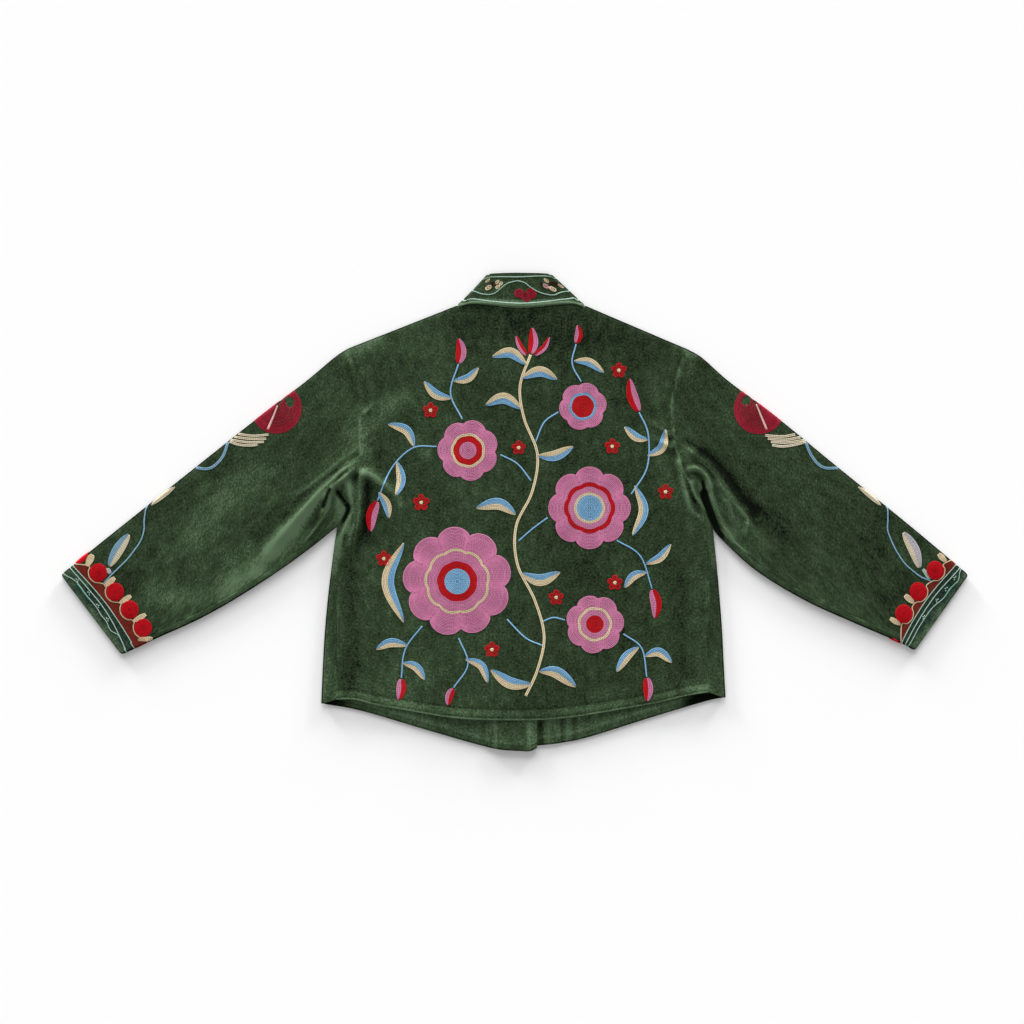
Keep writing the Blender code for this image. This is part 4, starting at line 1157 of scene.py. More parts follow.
threadLook = {
    "fibreScale": 2600.0, "fibre": 1.1,
    "patchScale": 240.0, "patch": 0.9,
    "rowTone": 0.5, "base": 0.25,
    "relief": {"Strength": 0.5, "Distance": 0.0002},
    "surface": {"Roughness": 0.75, "Specular IOR Level": 0.12},
}


def threadFinish(name, low, high):
    finish = Finish(f"{name}_thread")
    place = finish.node("ShaderNodeTexCoord", {}, {}, "Object")
    rowTone = finish.node("ShaderNodeAttribute", {"attribute_name": "tone"}, {}, "Fac")
    fibre = finish.noise(place, threadLook["fibreScale"], 2.0, 0.6)
    patch = finish.noise(place, threadLook["patchScale"], 2.0, 0.5)
    tone = rowTone * threadLook["rowTone"] + (fibre - 0.5) * threadLook["fibre"]
    tone = (tone + (patch - 0.5) * threadLook["patch"] + threadLook["base"]).clamped()
    colour = finish.node("ShaderNodeMix", {"data_type": "RGBA"}, {0: tone, 6: low, 7: high}, 2)
    bump = finish.node("ShaderNodeBump", {}, {**threadLook["relief"], "Height": fibre})
    finish.shade({"Base Color": colour, **threadLook["surface"], "Normal": bump})
    return finish.material


def stitchRows(name, rows, chart, colour, height=stitch["height"]):
    rows = [row for row in rows if fullLength(row.line) > stitch["shortest"]]
    dice = np.random.default_rng(len(rows))
    shareAcross, shareUp = np.array(strands + strands[:1]).T
    places, lifts, counts, tones = [], [], [], []
    for row in rows:
        full = fullLength(row.line)
        loops = max(1, round(full / stitch["length"]))
        steps = loops * stitch["perLoop"]
        along = np.linspace(0, full, steps + 1)
        middle = atDistance(row.line, along)
        ahead = unit(np.gradient(middle, axis=0))
        swell = np.abs(np.sin(math.pi * along / full * loops))
        closed = np.linalg.norm(row.line[0] - row.line[-1]) < 0.01
        if closed:
            ahead[0] = ahead[-1] = unit(ahead[0] + ahead[-1])
        taper = 1.0 if closed else smoothStep(0, 1.0, along) * smoothStep(full, full - 1.0, along)
        width = np.interp(along, lengthsAlong(row.line), row.width + np.zeros(len(row.line)))
        width = width / 2 * (0.74 + 0.26 * swell) * taper
        crest = (height * (0.6 + 0.4 * swell) + stitch["sink"]) * taper
        places.append(middle[:, None] + leftOf(ahead)[:, None] * (width[:, None] * shareAcross)[..., None])
        lifts.append(row.over - stitch["sink"] + crest[:, None] * shareUp)
        counts.append(steps)
        tones.append(dice.uniform(0.2, 1.0))
    points = chart(np.concatenate(places), np.concatenate(lifts))
    points[..., 2] = np.maximum(points[..., 2], -stitch["under"])
    points = points.tolist()
    surface = bmesh.new()
    toneLayer = surface.verts.layers.float.new("tone")
    first = 0
    for steps, tone in zip(counts, tones):
        made = bmesh.ops.create_grid(surface, x_segments=steps, y_segments=len(strands), size=1.0)
        for vertex in made["verts"]:
            column = round((vertex.co.x + 1) / 2 * steps)
            strand = round((vertex.co.y + 1) / 2 * len(strands))
            vertex.co = points[first + column][strand]
            vertex[toneLayer] = tone
        first += steps + 1
    bmesh.ops.remove_doubles(surface, verts=surface.verts[:], dist=0.01)
    print(f"  {name}: {len(rows)} rows, {len(surface.faces)} faces")
    addPiece(name, surface, threads[colour])


def embroider(place, work, chart):
    for colour, rows in work.items():
        stitchRows(f"{place}_{colour}", rows, chart, colour)


def topstitch(name, line, chart, colour):
    # a line of plain stitches, sunk a little in the pile
    starts = np.arange(3.0, fullLength(line) - 5.0, topstitching["pitch"])
    ends = np.array([0, 0.5, 1]) * topstitching["length"]
    rows = [Row(atDistance(line, start + ends), topstitching["width"], 0.0) for start in starts]
    stitchRows(name, rows, chart, colour, topstitching["height"])


# Charts: where a place on the flat cloth lies in space, lifted off its outer side

def backChart(places, lifts):
    return settle(flatStations(places, True), -lifts, lowLayer)


def insideChart(underside):
    # the inner side of the fronts
    def chart(places, lifts):
        return settle(flatStations(places, False), cloth["velvet"] + cloth["hemTurnUp"] + lifts, underside)
    return chart


def roundFold(middle, inward, off):
    # places round a fold: off is the distance over the cloth from the fold, + upwards
    half = foldReach * quarter
    base = middle + inward * (foldReach + np.maximum(np.abs(off) - half, 0))[..., None]
    return Stations(base, -inward, np.clip(off / foldReach, -quarter, quarter))


def topFold(side):
    line = sleeveFolds(side)[0]
    return line, acrossOf(line) * side["sign"], lengthsAlong(line)


def sleeveChart(side):
    line, inward, along = topFold(side)

    def chart(places, lifts):
        across = unit(interpolate(places[..., 0], along, inward))
        stations = roundFold(atDistance(line, places[..., 0]), across, places[..., 1])
        return settle(stations, -lifts, lowLayer)
    return chart


def onSleeve(side, points):
    # places in the garment's plane, on the upper layer, as the sleeve chart's coordinates
    line, inward, along = topFold(side)
    found = []
    for point in np.atleast_2d(np.asarray(points, float)):
        nearest = np.argmin(np.linalg.norm(line - point, axis=1))
        away = point - line[nearest]
        slide = -away @ leftOf(inward[nearest]) * side["sign"]
        found.append((along[nearest] + slide, away @ inward[nearest] + foldReach * (quarter - 1)))
    return np.array(found)


def cuffChart(side):
    # along the cuff's edge from the top fold (a), and inwards from the edge (b)
    topLine, lowLine = (line[::-1] for line in sleeveFolds(side))

    def chart(places, lifts):
        top, low = atDistance(topLine, places[..., 1]), atDistance(lowLine, places[..., 1])
        ahead = unit(low - top)
        half = foldReach * quarter
        straight = np.linalg.norm(low - top, axis=-1) - 2 * foldReach
        around = 2 * straight + 4 * half
        a = np.mod(places[..., 0], around)
        a = np.where(a > around - half, a - around, a)
        fromLow = a - straight - 2 * half
        onTop, onLow = a < straight / 2 + half, fromLow < straight / 2

        def pick(near, far, back):
            isTop, isLow = (np.reshape(mask, mask.shape + (1,) * (near.ndim - mask.ndim))
                            for mask in (onTop, onLow))
            return np.where(isTop, near, np.where(isLow, far, back))

        stations = Stations(*map(pick, roundFold(top, ahead, a), roundFold(low, -ahead, -fromLow),
                                 roundFold(top, ahead, a - around)))
        return settle(stations, -lifts, lowLayer)
    return chart


# Ways of filling a shape with rows

def ringPoints(centre, radius, turn=0.0, petals=0, depth=0.0):
    # a closed line round a centre, scalloped into petals
    angle = np.linspace(0, 2 * math.pi, max(24, int(radius * 2.2)) + 1)
    between = 1 - np.abs(np.cos(petals / 2 * (angle - turn))) ** 0.55
    reach = radius * (1 - depth * between)
    return np.asarray(centre, float) + np.stack([reach * np.cos(angle), reach * np.sin(angle)], axis=-1)


def discRows(centre, radius, over=0.0, dome=0.0, **shape):
    # rings from the rim to the middle
    count = max(1, round(radius / stitch["pitch"]))
    pitch = radius / count
    rows = []
    for ring in range(count):
        reach = radius - (ring + 0.5) * pitch
        flatter = {**shape, "depth": shape.get("depth", 0.0) * (reach / radius) ** 1.5}
        rows.append(Row(ringPoints(centre, reach, **flatter), pitch * 1.04,
                        over + dome * math.sqrt(1 - (reach / radius) ** 2)))
    return rows


def lineRows(points, count=1, width=stitch["pitch"], over=0.0):
    # one line or a few side by side
    line = smoothLine(points, 10)
    aside = [(k - (count - 1) / 2) * width for k in range(count)]
    return [Row(line + acrossOf(line) * off, width * 1.06, over) for off in aside]


def leafRows(points, width, leftColour, rightColour, over=0.0, fullest=0.5, blunt=0.7):
    # two halves along a bent rib, each of rows that run from tip to tip and swell between
    rib = atShares(smoothLine(points, 12), np.linspace(0, 1, 41))
    across = acrossOf(rib)
    warp = np.linspace(0.006, 0.994, 41) ** (math.log(0.5) / math.log(fullest))
    half = width / 2 * np.sin(math.pi * warp) ** blunt
    count = max(1, round(width / 2 / stitch["pitch"]))
    work = {}
    for sign, colour in ((1, leftColour), (-1, rightColour)):
        for k in range(count):
            line = rib + across * (sign * half * (k + 0.5) / count)[:, None]
            work.setdefault(colour, []).append(Row(line, np.maximum(half / count * 1.1, 0.5), over))
    return work


def blossomRows(centre, radius, petals, turn=0.0):
    # separate round petals about a centre
    rows = []
    size = radius * math.sin(math.pi / petals) / (1 + math.sin(math.pi / petals)) * 1.02
    for petal in range(petals):
        angle = turn + 2 * math.pi * petal / petals
        rows += discRows(centre + (radius - size) * np.array([math.cos(angle), math.sin(angle)]), size)
    return rows


def keepRows(rows, wanted):
    # the stretches of rows where wanted(points) is true
    kept = []
    for row in rows:
        line = atDistance(row.line, np.arange(0, fullLength(row.line), 0.8))
        inside = wanted(line)
        if inside[0] and inside[-1] and not inside.all() and np.linalg.norm(line[0] - line[-1]) < 2:
            start = int(np.argmin(inside))
            line, inside = np.roll(line, -start, axis=0), np.roll(inside, -start)
        edges = np.flatnonzero(np.diff(np.concatenate([[0], inside.astype(int), [0]])))
        kept += [Row(line[start:end], row.width, row.over)
                 for start, end in zip(edges[::2], edges[1::2]) if end - start > 4]
    return kept


def addWork(work, *more):
    for part in more:
        for colour, rows in part.items():
            work.setdefault(colour, []).extend(rows)


# The embroidery of the back: a flowering vine that climbs from the hem to the neck
backVine = {
    "stem": [(16, -276), (34, -236), (44, -186), (30, -132), (4, -78), (2, -22), (26, 30), (34, 86),
             (14, 140), (8, 188), (24, 236)],
    # centre, radius, petals, depth of the scallops, turn, and bands of colour from the rim inwards
    "rosettes": [
        ((-86, -104), 82, 9, 0.17, 0.25,
         [("pink", 32), ("cream", 4.3), ("pink", 15), ("red", 11), ("blue", 20)]),
        ((112, 6), 62, 8, 0.17, 0.0, [("pink", 24), ("red", 6.5), ("pink", 9), ("cream", 4.3), ("blue", 19)]),
        ((-70, 92), 46, 7, 0.16, 0.4, [("pink", 19), ("cream", 4.3), ("red", 9), ("pink", 14)]),
        ((102, 158), 36, 6, 0.16, 0.2, [("pink", 15), ("blue", 4.3), ("red", 17)]),
        ((120, -168), 44, 7, 0.16, 0.1, [("pink", 17), ("cream", 4.3), ("pink", 9), ("red", 14)]),
    ],
    "branches": [
        [(42, -200), (16, -188), (-12, -160)], [(5, -44), (28, -24), (50, -8)],
        [(25, 46), (4, 72), (-22, 86)], [(31, 104), (44, 134), (66, 150)],
        [(41, -164), (58, -158), (76, -162)], [(-116, 98), (-152, 96), (-184, 66), (-206, 16)],
        [(174, 26), (198, 66), (200, 116), (186, 150)], [(162, -182), (190, -204), (198, -248)],
        [(-138, -170), (-164, -206), (-170, -250)], [(100, 194), (86, 222), (92, 252)],
        [(-78, 138), (-96, 178), (-84, 222)], [(-84, -188), (-70, -228), (-92, -264)],
        [(152, -42), (188, -66), (206, -116)],
    ],
    # the rib of each leaf, its width, and the colour on the left and right of the rib
    "leaves": [
        ([(36, -238), (62, -240), (92, -262)], 18, "blue", "cream"),
        ([(26, -258), (-6, -256), (-36, -236)], 18, "cream", "blue"),
        ([(10, -92), (38, -102), (68, -90)], 18, "blue", "cream"),
        ([(2, -4), (-24, 12), (-58, 6)], 18, "cream", "blue"),
        ([(34, 84), (60, 84), (88, 98)], 16, "cream", "blue"),
        ([(10, 154), (-16, 170), (-44, 160)], 17, "blue", "cream"),
        ([(10, 200), (38, 210), (64, 198)], 16, "cream", "blue"),
        ([(18, 220), (-6, 238), (-34, 232)], 16, "blue", "cream"),
        ([(-166, -46), (-190, -104), (-166, -166)], 19, "blue", "cream"),
        ([(176, -36), (193, 2), (180, 40)], 15, "cream", "blue"),
        ([(-150, 97), (-162, 122), (-190, 132)], 14, "cream", "blue"),
        ([(-176, 76), (-170, 48), (-178, 24)], 14, "blue", "cream"),
        ([(-204, 30), (-192, 12), (-188, -10)], 13, "cream", "blue"),
        ([(198, 84), (220, 96), (226, 124)], 14, "blue", "cream"),
        ([(200, 108), (182, 112), (164, 128)], 13, "cream", "blue"),
        ([(186, -202), (168, -216), (152, -240)], 14, "cream", "blue"),
        ([(194, -216), (216, -210), (236, -226)], 14, "blue", "cream"),
        ([(-160, -200), (-186, -196), (-208, -206)], 14, "cream", "blue"),
        ([(-168, -226), (-148, -232), (-134, -252)], 13, "blue", "cream"),
        ([(-94, 170), (-118, 176), (-136, 196)], 14, "cream", "blue"),
        ([(-92, 196), (-70, 200), (-54, 216)], 13, "blue", "cream"),
        ([(88, 226), (112, 224), (134, 208)], 13, "cream", "blue"),
        ([(-74, -220), (-50, -230), (-40, -256)], 13, "blue", "cream"),
        ([(196, -78), (218, -68), (234, -48)], 13, "blue", "cream"),
        ([(198, -90), (178, -96), (164, -114)], 13, "cream", "blue"),
    ],
    # almond buds at the ends of the branches
    "buds": [
        ([(24, 236), (28, 254), (26, 276)], 15, "red", "pink"),
        ([(18, 234), (8, 248), (2, 264)], 9, "pink", "red"),
        ([(30, 234), (44, 246), (52, 262)], 9, "red", "pink"),
        ([(-206, 16), (-214, -4), (-216, -30)], 17, "pink", "red"),
        ([(186, 150), (176, 174), (172, 200)], 17, "red", "pink"),
        ([(198, -248), (200, -268), (198, -284)], 15, "pink", "red"),
        ([(-170, -250), (-170, -266), (-174, -282)], 15, "red", "pink"),
        ([(92, 252), (96, 266), (94, 280)], 12, "pink", "red"),
        ([(-84, 222), (-80, 240), (-84, 260)], 16, "red", "pink"),
        ([(-92, -264), (-98, -276), (-100, -290)], 12, "red", "pink"),
        ([(206, -116), (212, -138), (210, -160)], 17, "red", "pink"),
    ],
    "flowers": [((-140, 14), 13), ((62, -128), 12), ((-34, -206), 12), ((146, 98), 12),
                ((-126, 152), 12), ((-196, -70), 12), ((156, 212), 12), ((226, 30), 12), ((6, 96), 11),
                ((150, -106), 12)],
}

# The flowers of the sleeves, placed where they show beside the top fold. Both share the
# flower's radius and number of outer rings, what stays bare beside the bud and the bar,
# the widths of the leaves, and the number and width of the rows of the two lines
sleeveWork = {
    "radius": 38.0, "rim": 4, "budGap": 6.5, "barGap": 28.0, "barWidth": (2.6, 4.6),
    "leaf": 8.5, "splitLeaf": 17, "berry": 6.5, "arc": (2, 2.2), "vine": (1, 2.4),
}
leftSleeveWork = {
    "flower": (-357, 155), "bud": (-337, 165), "bar": [(-355, 159.6), (-361, 144), (-370, 122.6)],
    "fan": [[(-415, 117), (-391.5, 113.9), (-367.7, 115.8)], [(-421, 112.6), (-396.3, 109.5), (-371, 109.6)],
            [(-426, 108), (-398.3, 104.3), (-374.3, 105)],
            [(-428, 106), (-414, 101), (-396.3, 99.5), (-383.9, 101)]],
    "fanWidth": 3.9,
    "arc": [(-429, 105.5), (-436.4, 84.3), (-449, 69.6), (-461.6, 64.5), (-478.5, 66.5)],
    "leaf": [(-545, 9.5), (-528, 24), (-508, 38.1)],
    "vine": [(-549, 14), (-553, 2), (-555, -14), (-555.2, -27), (-560.1, -43.2), (-570.2, -58), (-580, -70.5),
             (-592.5, -83), (-604, -94), (-616, -107)],
    "splitLeaf": [(-607.4, -81.8), (-594, -57), (-577.5, -33)], "splitColours": ("greyBlue", "ivory"),
    "berry": [(-610, -83.5), (-608, -88), (-605, -93)], "berryColours": ("mauve", "pale"),
}
rightSleeveWork = {
    "flower": (366, 154), "bud": (346.4, 167.4), "bar": [(361.4, 162), (368.6, 144), (377.4, 122.6)],
    "fan": [[(374.1, 114.6), (399.2, 112.8), (421, 116)], [(377.7, 109.8), (404, 108), (429, 112)],
            [(382.5, 105), (406.4, 103.8), (434.6, 107.4)],
            [(384.3, 100.2), (401.6, 98), (423.2, 101.4), (437, 106)]],
    "fanWidth": 4.2,
    "arc": [(435.5, 104.6), (443.3, 86), (454.4, 71.6), (466.4, 65.7), (485, 66)],
    "leaf": [(549, 9), (532, 25), (514, 38)],
    "vine": [(556, 12), (558.5, 4), (558.8, -12), (558.5, -27), (564.2, -43.2), (572.9, -60.6), (584, -76.8),
             (597.8, -89.3), (610, -98), (624.5, -103.5)],
    "splitLeaf": [(606.5, -84.2), (598, -57), (582, -30)], "splitColours": ("mauve", "ivory"),
    "berry": [(611, -85), (617, -93), (622, -101)], "berryColours": ("pale", "pale"),
}

# The border of a cuff, by the distance round it from the top fold and in from its edge:
# dots, petals (base, tip and width) and two lines with a vine between them and the edge
leftCuffWork = {
    "dots": [(-5, 40.5), (35, 47.3), (73.4, 50.2), (107.8, 52), (141.6, 51.5)],
    "petals": [((17, 38.5), (8, 57), 11), ((56.5, 41.6), (56.5, 63), 9), ((90, 44), (93, 66.5), 8),
               ((124, 43.3), (128.5, 67.6), 8), ((150, 33), (163, 54), 7)],
    "outerLine": [(-2, 23), (8, 23.4), (46, 27), (81, 28.5), (114, 27), (147, 24), (158, 22)],
    "innerLine": [(-2, 18), (7, 17.8), (46, 20.5), (81, 21.5), (114, 18), (150, 10), (158, 9)],
    "vine": [(-2, 4), (7, 5.4), (25, 12.4), (51.8, 12.5), (72, 13.5), (87.4, 12.1), (99.7, 12.5), (114, 9.5),
             (129.6, 14.5)],
    "sprigs": [(24, 16.5), (50, 18.8), (73, 18.2), (97.8, 17.4)],
    "glint": [(27, 11.4), (36, 11.8), (50, 11.6), (60, 12)], "lastDot": 187,
}
rightCuffWork = {
    "dots": [(-20, 36), (29.6, 45.2), (70.6, 47.7), (110, 46.2), (160, 30)],
    "petals": [((9, 38.5), (7.5, 56), 9), ((87.6, 42), (87.6, 61.6), 9), ((125.6, 40), (128.6, 60), 8)],
    "outerLine": [(-2, 24), (8.6, 25), (50, 29.3), (80, 30), (113, 28), (141, 24), (158, 22)],
    "innerLine": [(-2, 17), (8.6, 17.3), (50, 22.3), (80, 23), (113, 21), (141, 17.5), (158, 16)],
    "vine": [(-2, 15), (8.6, 13), (18.6, 8), (36, 10.8), (54, 10.6), (77, 16), (108.4, 15.5), (138, 12),
             (155, 14)],
    "sprigs": [(19, 16), (40, 17), (62, 18), (94, 20)],
    "glint": [(22, 8.6), (34, 10), (48, 10)], "lastDot": 202,
}
# What both cuffs share. Distances round a cuff start at its top fold, and what lies past
# the photo's edge of it goes on round the hidden side
cuffBorder = {
    "around": 302.0,
    # the dots' radius and dome, what the dome loses beside a fold, and the hidden ones' place
    "dotRadius": 13.6, "dome": 2.4, "lessByFold": 1.6, "hiddenDots": 45.0, "dotStep": 33,
    "hiddenPetal": (40, 58, 8),
    # rows of ground over the outer line: the first one's height, step, width and number,
    # and what stays bare below the scallops
    "ground": (1.9, 2.0, 2.1, 10), "groundGap": 1.6,
    # the width of each kind of line
    "edgeWidth": 1.9, "glintWidth": 2.0, "lineWidth": 1.7, "vineWidth": 1.5, "sprigWidth": 1.8,
    "closeHeights": {"outerLine": 23, "innerLine": 17},
    # the scalloped edge by steps from the middle of each dot, and a sprig's three tips
    "scallop": [(-15.5, -5), (-11, -11), (-2, -15.2), (8, -13), (14, -7)],
    "tips": [(-4, 2.5), (1, 5), (5, 1)],
    "hiddenVine": [(160, 8), (190, 13), (220, 8), (250, 13), (284, 9)],
    "hiddenSprigs": [(165, 15), (200, 16), (235, 15), (265, 16)],
}

# The border of the collar over the back of the neck, and the rest of its wave round the
# fronts as distances past each fold and heights on the band
collarWork = {
    "topLine": [(-44, 350), (-38, 351), (5, 351.6), (52, 352.4), (58, 351)],
    "wave": [(-66, 331.5), (-61.8, 330.5), (-50.9, 326.6), (-39.2, 325.4), (-30.2, 327.3), (-19.8, 335.6),
             (-10.8, 342), (0.9, 345.3), (6, 345.6), (15.2, 342.8), (22.8, 336.9), (33.2, 330.5), (46.1, 326),
             (59.1, 324.6), (69.3, 328.5), (80, 333)],
    "lowLine": [(-80, 317), (-76, 316.4), (-68.9, 318), (-45.8, 316.4), (-20, 313.8), (6.8, 312.2),
                (32, 313.4), (59.4, 316.4), (80, 319), (89, 320), (96, 317.6), (99, 317)],
    # colour, how far it lies over the cloth, and the middle and radius of each
    "petals": [
        ("crimson", 0, [((6.5, 327), 7), ((24.5, 327), 7.8), ((17.5, 320.8), 6.2)]),
        ("cream", 0, [((-40.5, 346.2), 3.6), ((-26.2, 344), 3.6), ((-20.6, 341.6), 3.4),
                      ((-25.4, 336.6), 3.8), ((-39.2, 335.6), 4.8), ((47.4, 346), 4.0),
                      ((57.2, 333.6), 4.8), ((68.8, 338), 4.0)]),
        ("blush", 0, [((46.4, 338), 4.4), ((52.4, 335.2), 3.0)]),
        ("dark", 0, [((-33, 341), 5.2), ((56.4, 341), 5.6), ((62, 342), 4.0), ((40, 341), 3.4)]),
        ("brick", 0.5, [((15.5, 326), 3.4)]),
    ],
    "frontWave": [(0, 21), (16, 30), (38, 37), (62, 26), (84, 15), (108, 26), (126, 35), (140, 34)],
    "frontPetals": [(40, 19), (88, 34)],
    # each line's height at the band's ends and just past the folds, and its width
    "lines": {"topLine": (39, 40, 1.8), "lowLine": (8, 8, 2.1)}, "waveWidth": 1.9,
    # where those two heights lie, and how far from the band's ends the lines stop
    "fromEnd": 6, "pastFold": 30, "bare": 4,
}


def rosetteRows(centre, radius, petals, depth, turn, bands):
    rows = discRows(centre, radius, petals=petals, depth=depth, turn=turn)
    edges = np.cumsum([width for _, width in bands])
    work = {}
    for number, row in enumerate(rows):
        reach = (number + 0.5) * radius / len(rows)
        band = min(int(np.searchsorted(edges, reach)), len(bands) - 1)
        work.setdefault(bands[band][0], []).append(row)
    return work


def makeBackWork():
    work = {"cream": lineRows(backVine["stem"], 2)}
    for branch in backVine["branches"]:
        addWork(work, {"blue": lineRows(branch, 1, 2.6)})
    for rosette in backVine["rosettes"]:
        addWork(work, rosetteRows(*rosette))
    for leaf in backVine["leaves"]:
        addWork(work, leafRows(*leaf))
    for bud in backVine["buds"]:
        addWork(work, leafRows(*bud, fullest=0.42, blunt=0.6))
    for place, radius in backVine["flowers"]:
        addWork(work, {"red": blossomRows(place, radius, 5, 0.3), "cream": discRows(place, 3.2, 0.4)})
    embroider("back_work", work, backChart)


def makeSleeveWork(name, side, places):
    flower, bud = onSleeve(side, [places["flower"], places["bud"]])
    bar = onSleeve(side, places["bar"])
    barStep = bar[0] - bar[-1]
    barLine = smoothLine(bar, 10)
    rings = discRows(flower, sleeveWork["radius"])
    outer, inner = rings[:sleeveWork["rim"]], rings[sleeveWork["rim"]:]

    def offBar(points):
        return (points[:, 0] - bar[-1][0]) * barStep[1] - (points[:, 1] - bar[-1][1]) * barStep[0]

    def beside(rows, sign):
        # the stretches on the bud's side of the bar (+1) or beyond it, clear of both
        sign = sign * np.sign(offBar(bud[None])[0])
        return keepRows(rows, lambda points: (np.linalg.norm(points - bud, axis=1) > sleeveWork["budGap"])
                        & (offBar(points) * sign > sleeveWork["barGap"]))

    work = {"crimson": outer + beside(inner, -1) + beside(inner[::2], 1), "maroon": beside(inner[1::2], 1),
            "blush": [Row(barLine, np.linspace(*sleeveWork["barWidth"], len(barLine)), 0.3)]}
    drawn = {}
    for line in places["fan"]:
        addWork(drawn, {"ivory": lineRows(onSleeve(side, line), 2, places["fanWidth"] / 2)})
    for key in ("arc", "vine"):
        addWork(drawn, {"greyBlue": lineRows(onSleeve(side, places[key]), *sleeveWork[key])})
    for key, colours, blunt in (("leaf", ("ivory", "ivory"), 0.7), ("splitLeaf", places["splitColours"], 0.5),
                                ("berry", places["berryColours"], 0.35)):
        addWork(drawn, leafRows(onSleeve(side, places[key]), sleeveWork[key], *colours, blunt=blunt))
    for colour, rows in drawn.items():
        # the same again on the underside of the sleeve
        work[colour] = rows + [Row(row.line * [1, -1] - [0, 4], row.width, row.over) for row in rows]
    embroider(f"sleeve_{name}_work", work, sleeveChart(side))


def makeCuffWork(name, side, places):
    around = cuffBorder["around"]
    hidden = np.linspace(places["lastDot"], around + places["dots"][0][0] - cuffBorder["dotStep"], 3)
    dots = places["dots"] + [(a, cuffBorder["hiddenDots"]) for a in hidden]
    middles = [(start + end) / 2 for (start, _), (end, _) in zip(dots[5:], dots[6:])]
    low, high, width = cuffBorder["hiddenPetal"]
    petals = places["petals"] + [((middle, low), (middle, high), width) for middle in middles]
    scallop = [(a + stepA, b + stepB) for a, b in dots for stepA, stepB in cuffBorder["scallop"]]
    scallop = np.array(sorted(point for point in scallop if point[0] < dots[0][0] + around - 14))
    edge = smoothLine(np.vstack([scallop, scallop[:1] + [around, 0]]), 5)

    def closeLine(key):
        # the line goes on round the hidden side to where it began
        line, height = places[key], cuffBorder["closeHeights"][key]
        return line + [(around - 20, height), (around + line[0][0], height)]

    def belowEdge(points):
        return points[:, 1] < np.interp(points[:, 0], *edge.T) - cuffBorder["groundGap"]

    outerLine = smoothLine(closeLine("outerLine"), 8)
    first, step, width, count = cuffBorder["ground"]
    lowest = np.interp(edge[:, 0], outerLine[:, 0], outerLine[:, 1]) + first
    ground = [Row(np.stack([edge[:, 0], lowest + step * k], axis=-1), width, 0.0) for k in range(count)]
    work = {"brick": keepRows(ground, belowEdge),
            "teal": lineRows(places["glint"], 1, cuffBorder["glintWidth"])}
    for dot in dots:
        nearFold = smoothStep(22, 8, min(abs(dot[0] - fold) for fold in (0, around / 2)))
        dome = cuffBorder["dome"] - cuffBorder["lessByFold"] * nearFold
        addWork(work, {"red": discRows(dot, cuffBorder["dotRadius"], 0.2, dome)})
    addWork(work, {"peach": [Row(edge, cuffBorder["edgeWidth"], 0.3)]})
    for base, tip, width in petals:
        middle = ((base[0] + tip[0]) / 2, (base[1] + tip[1]) / 2)
        addWork(work, leafRows([base, middle, tip], width, "cream", "cream", 0.05, 0.58, 0.4))
    lines = [(closeLine(key), cuffBorder["lineWidth"]) for key in cuffBorder["closeHeights"]]
    lines += [(places["vine"] + cuffBorder["hiddenVine"], cuffBorder["vineWidth"])]
    lines += [([(a, b - 3), (a + tipA, b - 3 + tipB)], cuffBorder["sprigWidth"])
              for a, b in places["sprigs"] + cuffBorder["hiddenSprigs"] for tipA, tipB in cuffBorder["tips"]]
    for line, width in lines:
        addWork(work, {"pale": lineRows(line, 1, width)})
    embroider(f"cuff_{name}_work", work, cuffChart(side))


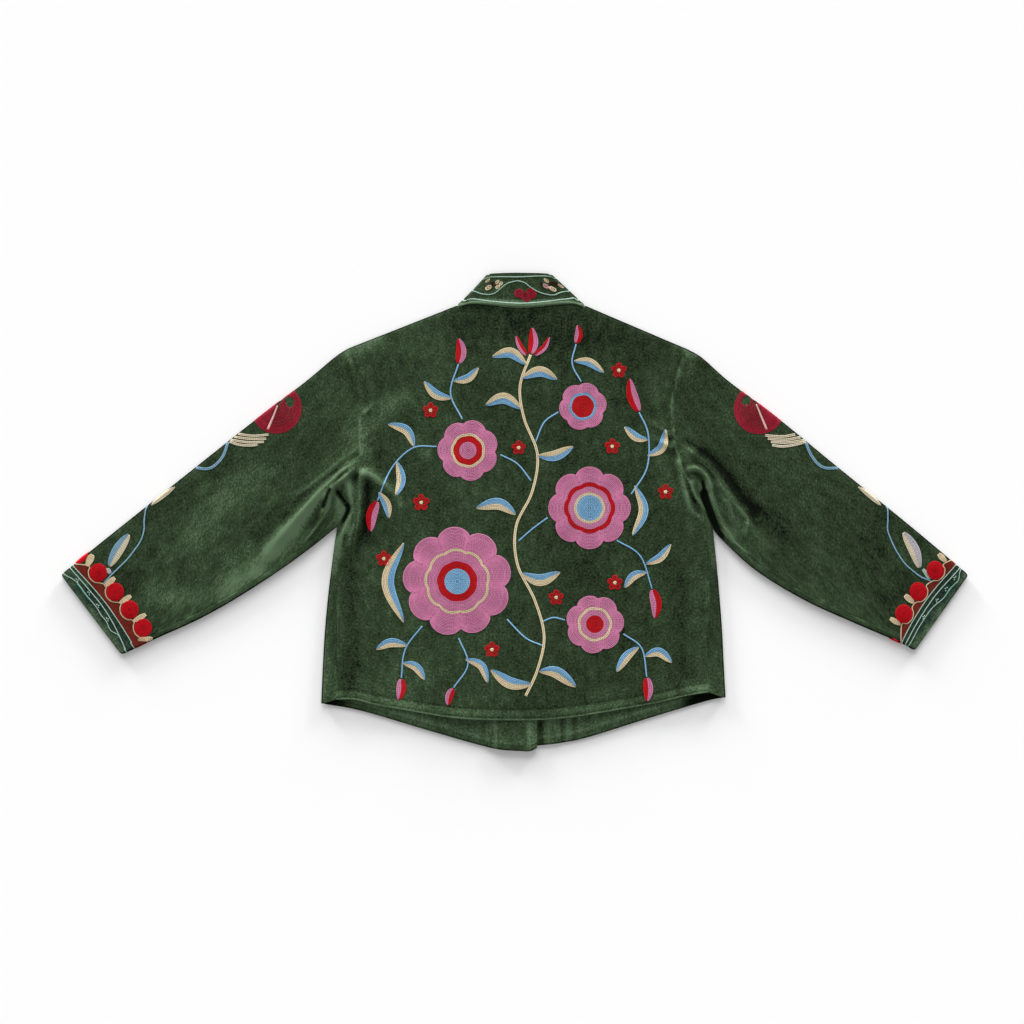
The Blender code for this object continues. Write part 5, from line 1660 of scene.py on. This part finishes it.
def makeCollarWork(stations, underside, depth):
    plain = settle(stations, depth, underside)
    raised = settle(stations, depth - 1.0, underside)
    middleRow, middleColumn = plain.shape[1] // 2, plain.shape[0] // 2
    us, vs = lengthsAlong(plain[:, middleRow]), lengthsAlong(plain[middleColumn])
    seen = stations.angle[:, middleRow] > -0.2
    whole = us[-1]

    def chart(places, lifts):
        i, j = (np.clip(np.searchsorted(knots, places[..., axis]) - 1, 0, len(knots) - 2)
                for axis, knots in enumerate((us, vs)))
        s = ((places[..., 0] - us[i]) / (us[i + 1] - us[i]))[..., None]
        t = ((places[..., 1] - vs[j]) / (vs[j + 1] - vs[j]))[..., None]

        def mix(grid):
            return ((1 - s) * (1 - t) * grid[i, j] + s * (1 - t) * grid[i + 1, j]
                    + (1 - s) * t * grid[i, j + 1] + s * t * grid[i + 1, j + 1])

        return mix(plain) + (mix(raised) - mix(plain)) * lifts[..., None]

    def onBand(points):
        # places in the garment's plane as the chart's coordinates
        found = []
        for point in np.atleast_2d(np.asarray(points, float)):
            away = np.linalg.norm(plain[:-1, :-1, :2] - point, axis=-1) + 1000 * ~seen[:-1, None]
            i, j = np.unravel_index(np.argmin(away), away.shape)
            corner = plain[i, j, :2]
            steps = np.stack([plain[i + 1, j, :2] - corner, plain[i, j + 1, :2] - corner], axis=1)
            step = np.clip(np.linalg.solve(steps, point - corner), -1, 1.5)
            found.append((us[i] + step[0] * (us[i + 1] - us[i]), vs[j] + step[1] * (vs[j + 1] - vs[j])))
        return np.array(found)

    first, last = us[np.flatnonzero(seen)[[0, -1]]]
    starts, ends = (sign * np.array(collarWork["frontWave"], float) * [1, sign] + [fold, 0]
                    for sign, fold in ((-1, first), (1, last)))
    wave = np.vstack([starts[1:][::-1], onBand(collarWork["wave"])[1:-1], ends[1:]])
    lines = [(wave, collarWork["waveWidth"])]
    fromEnd, pastFold, bare = (collarWork[key] for key in ("fromEnd", "pastFold", "bare"))
    for key, (atEnd, beside, width) in collarWork["lines"].items():
        lines.append((np.vstack([(fromEnd, atEnd), (first - pastFold, beside), onBand(collarWork[key])[1:-1],
                                 (last + pastFold, beside), (whole - fromEnd, atEnd)]), width))
    work = {}
    for line, width in lines:
        addWork(work, {"pale": lineRows(line[(line[:, 0] > bare) & (line[:, 0] < whole - bare)], 1, width)})
    for colour, over, petals in collarWork["petals"]:
        for place, radius in petals:
            addWork(work, {colour: discRows(onBand(place)[0], radius, over)})
    for sign, fold in ((-1, first), (1, last)):
        for off, height in collarWork["frontPetals"]:
            place = (fold + sign * off, height)
            addWork(work, {"cream": blossomRows(place, 9, 5), "dark": discRows(place, 3.4, 0.3)})
    embroider("collar_work", work, chart)


print("floor, light and camera")
makeFloor()
makeStudio()
horn = Finish("dark_horn")
horn.shade({"Base Color": (0.030, 0.022, 0.018), "Roughness": 0.35})
hornFinish = horn.material

fronts = [("left", leftSide, leftFrontUnderside), ("right", rightSide, lowLayer)]
print("velvet: back and fronts")
makeBack()
for name, side, underside in fronts:
    strip, toneLightAndShade = makeFront(f"front_{name}", side, underside)
    makeFacing(f"facing_{name}", strip, toneLightAndShade, underside)

print("velvet: sleeves, cuffs and collar")
makeSleeve("left", leftSide)
makeSleeve("right", rightSide)
collarShape = makeCollar()
for number, y in enumerate(np.linspace(button["topY"], button["lowY"], button["count"]), start=1):
    makeButton(number, y)

print("embroidery")
threads = {name: threadFinish(name, *tones) for name, tones in threadColours.items()}
makeBackWork()
makeSleeveWork("left", leftSide, leftSleeveWork)
makeSleeveWork("right", rightSide, rightSleeveWork)
makeCuffWork("left", leftSide, leftCuffWork)
makeCuffWork("right", rightSide, rightCuffWork)
makeCollarWork(*collarShape)

print("topstitching")
hem = atDistance(smoothLine(backHem), np.arange(4, 565, 4.0))
topstitch("back_hem_stitches", hem + (0, cloth["hemDepth"]), backChart, "green")
for name, side, underside in fronts:
    # as far as the two mouths and the left front's edge
    hem = smoothLine(side["frontHem"])
    hem = hem[(np.abs(hem[:, 0] - 10) < 235) & (side["sign"] * (hem[:, 0] - 22) < 0)]
    topstitch(f"front_{name}_hem_stitches", hem + (0, hemInside["turnUp"]), insideChart(underside), "moss")
edge = np.array([(21.4, -350.0), (21.4, -250.0)])
topstitch("front_left_edge_stitches", edge, insideChart(leftFrontUnderside), "moss")

bpy.context.view_layer.update()
